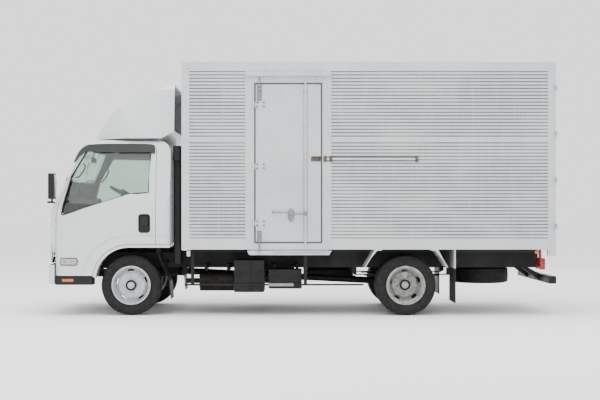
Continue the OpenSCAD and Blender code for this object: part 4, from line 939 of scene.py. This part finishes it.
# smoked rain visor over the window, fixed along its top edge and standing off below
VISOR_TOP = (
    (-2.752, 1.862), (-2.722, 1.935), (-2.690, 1.995), (-2.652, 2.040), (-2.590, 2.072),
    (-2.50, 2.086), (-2.35, 2.091), (-2.10, 2.092), (-1.90, 2.090), (-1.815, 2.086),
    (-1.772, 2.066), (-1.762, 2.03), (-1.762, 1.968),
)
VISOR_LIP = (
    (-2.722, 1.862), (-2.690, 1.912), (-2.655, 1.952), (-2.615, 1.982), (-2.560, 1.994),
    (-2.48, 1.990), (-2.35, 1.984), (-2.10, 1.982), (-1.92, 1.982), (-1.845, 1.984),
    (-1.815, 1.985), (-1.805, 1.984), (-1.803, 1.968),
)
LEAN_X, LEAN_Z = -1.79, 1.95
sides = near_y(LEAN_X, LEAN_Z), near_y(LEAN_X, 2.05)
lean = (sides[1] - sides[0]) / 0.10


def beside(x, z, gap):
    """A point that stands off the door's upper frame."""
    y = sides[0] + lean * (z - LEAN_Z)
    return (x, y - gap, z)


upper = [beside(x, z, 0.005) for x, z in VISOR_TOP]
visor = between("rain_visor", upper, [beside(x, z, 0.026) for x, z in VISOR_LIP], 3)
both_doors(visor, "rain_visor", smoked_acrylic)

# rubber round the door window
WINDOW = (
    (-1.8385, 1.497), (-1.8265, 1.76), (-1.8145, 1.99), (-1.850, 2.020), (-2.20, 2.020),
    (-2.545, 2.020), (-2.600, 1.985), (-2.690, 1.835), (-2.7785, 1.690), (-2.832, 1.49),
    (-2.8745, 1.330), (-2.890, 1.235), (-2.872, 1.222), (-2.48, 1.347), (-2.0755, 1.475),
    (-1.96, 1.485),
)
rubber = tube("window_rubber", [on_side(x, z, 0.001) for x, z in WINDOW], 8, True)
both_doors(rubber, "window_rubber", seal_rubber)

# mirror glass on the rear of each housing
GLASS_FOOT = 1.413
GLASS = ((0.020, 0.012), (0.112, 0.012), (0.120, 0.022), (0.120, 0.284),
         (0.112, 0.294), (0.020, 0.294), (0.010, 0.284), (0.010, 0.022))
low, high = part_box("mirrors")
outline = [(high.x - 0.0005, low.y + y, GLASS_FOOT + z) for y, z in GLASS]
glass = plate("mirror_glass", outline, (0.003, 0, 0), 0.8)
both_of(glass, "mirror_glass", "cab", mirror_glass)

# rubber round the windscreen, a little way up on the glass
SCREEN = ((-0.862, 1.642), (0.862, 1.642), (0.788, 2.046), (-0.788, 2.046))
screen = []
for a, b in zip(SCREEN, SCREEN[1:] + SCREEN[:1]):
    for k in range(12):
        y, z = a[0] + (b[0] - a[0]) * k / 12, a[1] + (b[1] - a[1]) * k / 12
        screen.append(on_front(y, z, 0.001))
settle(tube("windscreen_rubber", screen, 8, True), "cab", seal_rubber)

wipers = []
for pivot, tip in ((-0.62, 0.02), (0.10, 0.74)):
    arm = [on_front(pivot, 1.606, 0.020), on_front(pivot + 0.20, 1.63, 0.030),
           on_front(tip - 0.27, 1.665, 0.022)]
    wipers += [
        turned("pivot", [(0, 0), (0, 22), (14, 20), (24, 10), (26, 0)],
               on_front(pivot, 1.605, 0), FORWARD, 16),
        tube("arm", arm, 6),
        tube("blade", [on_front(pivot + 0.10 + 0.1 * k, 1.655 + 0.003 * k, 0.013)
                       for k in range(6)], 7),
    ]
settle(joined("wipers", wipers), "cab", black_plastic)

SLAT_END, SLAT_STEP = -0.56, 0.08
slats = [
    tube("slat", [on_front(SLAT_END + SLAT_STEP * k, z, 0.003) for k in range(15)], 7)
    for z in (0.722, 0.760, 0.798, 0.836)
]
settle(joined("grille_slats", slats), "cab", black_plastic)

BOWL = [(-34, 16), (-30, 44), (-12, 74), (6, 86), (8, 90), (3, 90),
        (-16, 76), (-34, 46), (-38, 16), (-34, 16)]
bowls = [turned("bowl", BOWL, (-2.992, y, 0.762), FORWARD, 28) for y in (-0.735, -0.865)]
both_of(joined("lamp_bowls", bowls), "lamp_bowls", "cab", reflector)

FOG_Y, FOG_Z = -0.74, 0.505
fog = turned(
    "fog_lamp", [(0, 0), (0, 52), (6, 52), (9, 46), (6, 42), (11, 20), (12, 0)],
    (front_x(FOG_Y, FOG_Z, ("front_bumper",)), FOG_Y, FOG_Z), FORWARD, 28,
)
both_of(fog, "fog_lamp", "truck", lamp_lens)
vents = []
for z in (0.415, 0.440, 0.465):
    x = front_x(0, z, ("front_bumper",))
    vents.append(block("vent", (x - 0.004, -0.50, z), (x + 0.004, 0.50, z + 0.016), 4))
settle(joined("bumper_vents", vents), "truck", black_plastic)

# ------------ inside the cab

mirror = block("cab_mirror", (-2.700, -0.12, 1.90), (-2.672, 0.12, 1.97), 10, 3)
stalk = tube("mirror_stalk", [(-2.688, 0, 1.965), (-2.690, 0, 2.00), (-2.665, 0, 2.045)], 8)
settle(joined("cab_mirror", [mirror, stalk]), "cab", black_plastic)
BALL = [(-26, 0), (-22, 14), (-10, 24), (2, 26), (14, 22),
        (22, 12), (24, 6), (46, 6), (58, 18), (60, 0)]
ball = turned("dash_ball", BALL, (-2.80, -0.40, 1.52), (0, 0, -1), 20)
settle(ball, "cab", black_plastic)
COLUMN = (0.5, 0, 0.8660254)  # the steering column, 30 degrees from upright
boss = turned("wheel_boss", [(-46, 0), (-46, 40), (-14, 62), (6, 74), (18, 70), (25, 46), (27, 0)],
              (-2.3565, 0.370, 1.500), COLUMN, 28)
settle(boss, "steering_wheel", black_plastic)
lever = [
    tube("lever", [(-2.62, 0.13, 1.24), (-2.52, 0.12, 1.33), (-2.49, 0.12, 1.39)], 9),
    turned("lever_knob", [(-24, 0), (-22, 14), (-8, 24), (8, 24), (22, 16), (26, 0)],
           (-2.485, 0.12, 1.40), (0.3, 0, 0.95), 16),
]
settle(joined("gear_lever", lever), "cab", black_plastic)
GRAB_Y = 0.80
for side, name in ((-1, "left"), (1, "right")):
    y = side * GRAB_Y
    bend = [(-2.742, side * 0.845, 1.68), (-2.715, y, 1.69), (-2.66, y, 1.76),
            (-2.635, y, 1.82), (-2.655, side * 0.835, 1.85)]
    settle(tube("grab_handle_" + name, bend, 11), "cab", dash_vinyl)
gauges = [
    turned("dial", [(0, 0), (0, 46), (10, 46), (14, 40), (8, 36), (8, 0)],
           (-2.702, 0.37 + y, 1.40), (1, 0, 0.2), 24)
    for y in (-0.10, 0.02, 0.12)
]
settle(joined("dials", gauges), "cab", black_plastic)

SEAT_X, SEAT_Z = (-2.195, -1.735), (1.025, 1.145)
BACK_X, BACK_Z = (-1.775, -1.660), (1.150, 1.560)
HEAD_X, HEAD_Z, HEAD_HALF = (-1.740, -1.665), (1.585, 1.722), 0.13
SEAT_CROWN_MM, HEAD_CROWN_MM = 14, 8
VOXEL, PRESSURE, CLOTH_FRAMES = 0.012, 4, 12
CHANNEL_HALF, CHANNEL_DEPTH = 0.010, 0.009


def stuffed(name, x, y, z, crown_mm, channels):
    """A foam cushion under cloth: rounded, swollen by pressure, with sewn channels across Y."""
    low, high = (Vector(corner) for corner in zip(x, y, z))
    piece = applied(block(name, low, high, 30, 3))
    remesh = piece.modifiers.new("remesh", "REMESH")
    remesh.mode, remesh.voxel_size = "VOXEL", VOXEL
    bpy.ops.object.modifier_apply(modifier="remesh")
    before = [v.co.copy() for v in piece.data.vertices]
    cloth = piece.modifiers.new("stuffing", "CLOTH")
    cloth.settings.quality = 4
    cloth.settings.use_pressure = True
    cloth.settings.uniform_pressure_force = PRESSURE
    cloth.settings.effector_weights.gravity = 0
    cloth.point_cache.frame_start, cloth.point_cache.frame_end = 1, CLOTH_FRAMES
    for step in range(1, CLOTH_FRAMES + 1):
        bpy.context.scene.frame_set(step)
    take(piece)
    bpy.ops.object.modifier_apply(modifier="stuffing")
    bpy.context.scene.frame_set(1)
    middle = (low + high) / 2
    for v, rest in zip(piece.data.vertices, before):
        move = v.co - rest
        if move.length > crown_mm / 1000:
            v.co = rest + move.normalized() * crown_mm / 1000
        for line in channels:
            away = (v.co.y - line) / CHANNEL_HALF
            v.co += (middle - v.co).normalized() * CHANNEL_DEPTH * math.exp(-away * away)
    smooth = piece.modifiers.new("smooth", "SUBSURF")
    smooth.levels = smooth.render_levels = 1
    bpy.ops.object.modifier_apply(modifier="smooth")
    settle(piece, "cab", seat_cloth, 60)
    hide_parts("seats")
    return piece


for side, y0, y1, lines in (
    ("driver", 0.150, 0.690, (0.27, 0.57)), ("bench", -0.770, 0.010, (-0.65, -0.38, -0.11)),
):
    base = block(side + "_seat_base", (-2.17, y0 + 0.03, 0.901), (-1.74, y1 - 0.03, 1.03), 12, 3)
    settle(base, "cab", black_plastic)
    stuffed(side + "_cushion", SEAT_X, (y0, y1), SEAT_Z, SEAT_CROWN_MM, lines)
    stuffed(side + "_back", BACK_X, (y0, y1), BACK_Z, SEAT_CROWN_MM, lines)
    heads = ((y0 + y1) / 2,) if side == "driver" else (y0 + 0.2, y1 - 0.2)
    for k, middle in enumerate(heads):
        name = f"{side}_headrest_{k}"
        wide = (middle - HEAD_HALF, middle + HEAD_HALF)
        stuffed(name, HEAD_X, wide, HEAD_Z, HEAD_CROWN_MM, ())
        posts = [
            tube("post", [(-1.705, middle + s, 1.54), (-1.705, middle + s, 1.60)], 6)
            for s in (-0.06, 0.06)
        ]
        settle(joined(name + "_posts", posts), "cab", galvanised)

# ------------ wheels, rear doors and back

HUB_FACE = 0.054  # where a wheel's disc is flat, out from its middle
HUB_RING = [(-4, 43), (0, 43), (5, 46), (7, 52), (6, 60), (2, 66), (-4, 68), (-4, 43)]
for hub, node, stem in (
    (front_hub, "front_left_wheel", "front"), (rear_hub, "rear_left_wheels", "rear"),
):
    y = skin(node, hub.x + HUB_FACE, hub.z)
    ring = turned(stem + "_hub_ring_left", HUB_RING, (hub.x, y, hub.z), OUT, 32)
    body = "wheel_" + stem + "_"
    settle(ring, body + "left", chassis_black)
    other_side(ring, stem + "_hub_ring_right", body + "right", chassis_black)

LOCK_RODS, CAM_FOOT, CAM_HEAD, CAM_HALF = (0.180, 0.650), 1.20, 1.32, 0.045
for side, name in ((-1, "left"), (1, "right")):
    body, parts = "rear_door_" + name, []
    for rod_y in LOCK_RODS:
        y, far = side * rod_y, side * rod_y + side * 0.27
        x = meet(body, (4, y + 0.05, 1.25), FORWARD).x
        lever = [(x + 0.030, y, 1.28), (x + 0.036, y + side * 0.08, 1.27),
                 (x + 0.030, y + side * 0.30, 1.26)]
        parts += [
            block("cam_plate", (x - 0.001, y - CAM_HALF, CAM_FOOT),
                  (x + 0.006, y + CAM_HALF, CAM_HEAD), 3),
            tube("door_handle", lever, 9),
            block("catch", (x - 0.001, far - 0.03, 1.225), (x + 0.026, far + 0.03, 1.285), 6),
        ]
        parts += [
            turned("plate_bolt", [(0, 8), (4, 8), (6, 0)], (x + 0.0055, y + s, z), BACKWARD, 8)
            for s in (-0.033, 0.033) for z in (1.215, 1.305)
        ]
    settle(joined(body + "_locks", parts), body, galvanised)

LENS_STEP, LENS_WIDE = 0.085, 0.074
lamp_low, lamp_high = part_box("tail_lamps")
lenses = [
    block("rim", (lamp_high.x - 0.004, y, 0.572), (lamp_high.x + 0.006, y + LENS_WIDE, 0.688), 5)
    for y in (lamp_low.y + 0.008 + LENS_STEP * k for k in range(3))
]
materials = (red_acrylic, amber_acrylic, cream_acrylic)
for lens, material, name in zip(lenses, materials, ("brake", "turn", "reverse")):
    both_of(lens, name + "_lens", "truck", material)
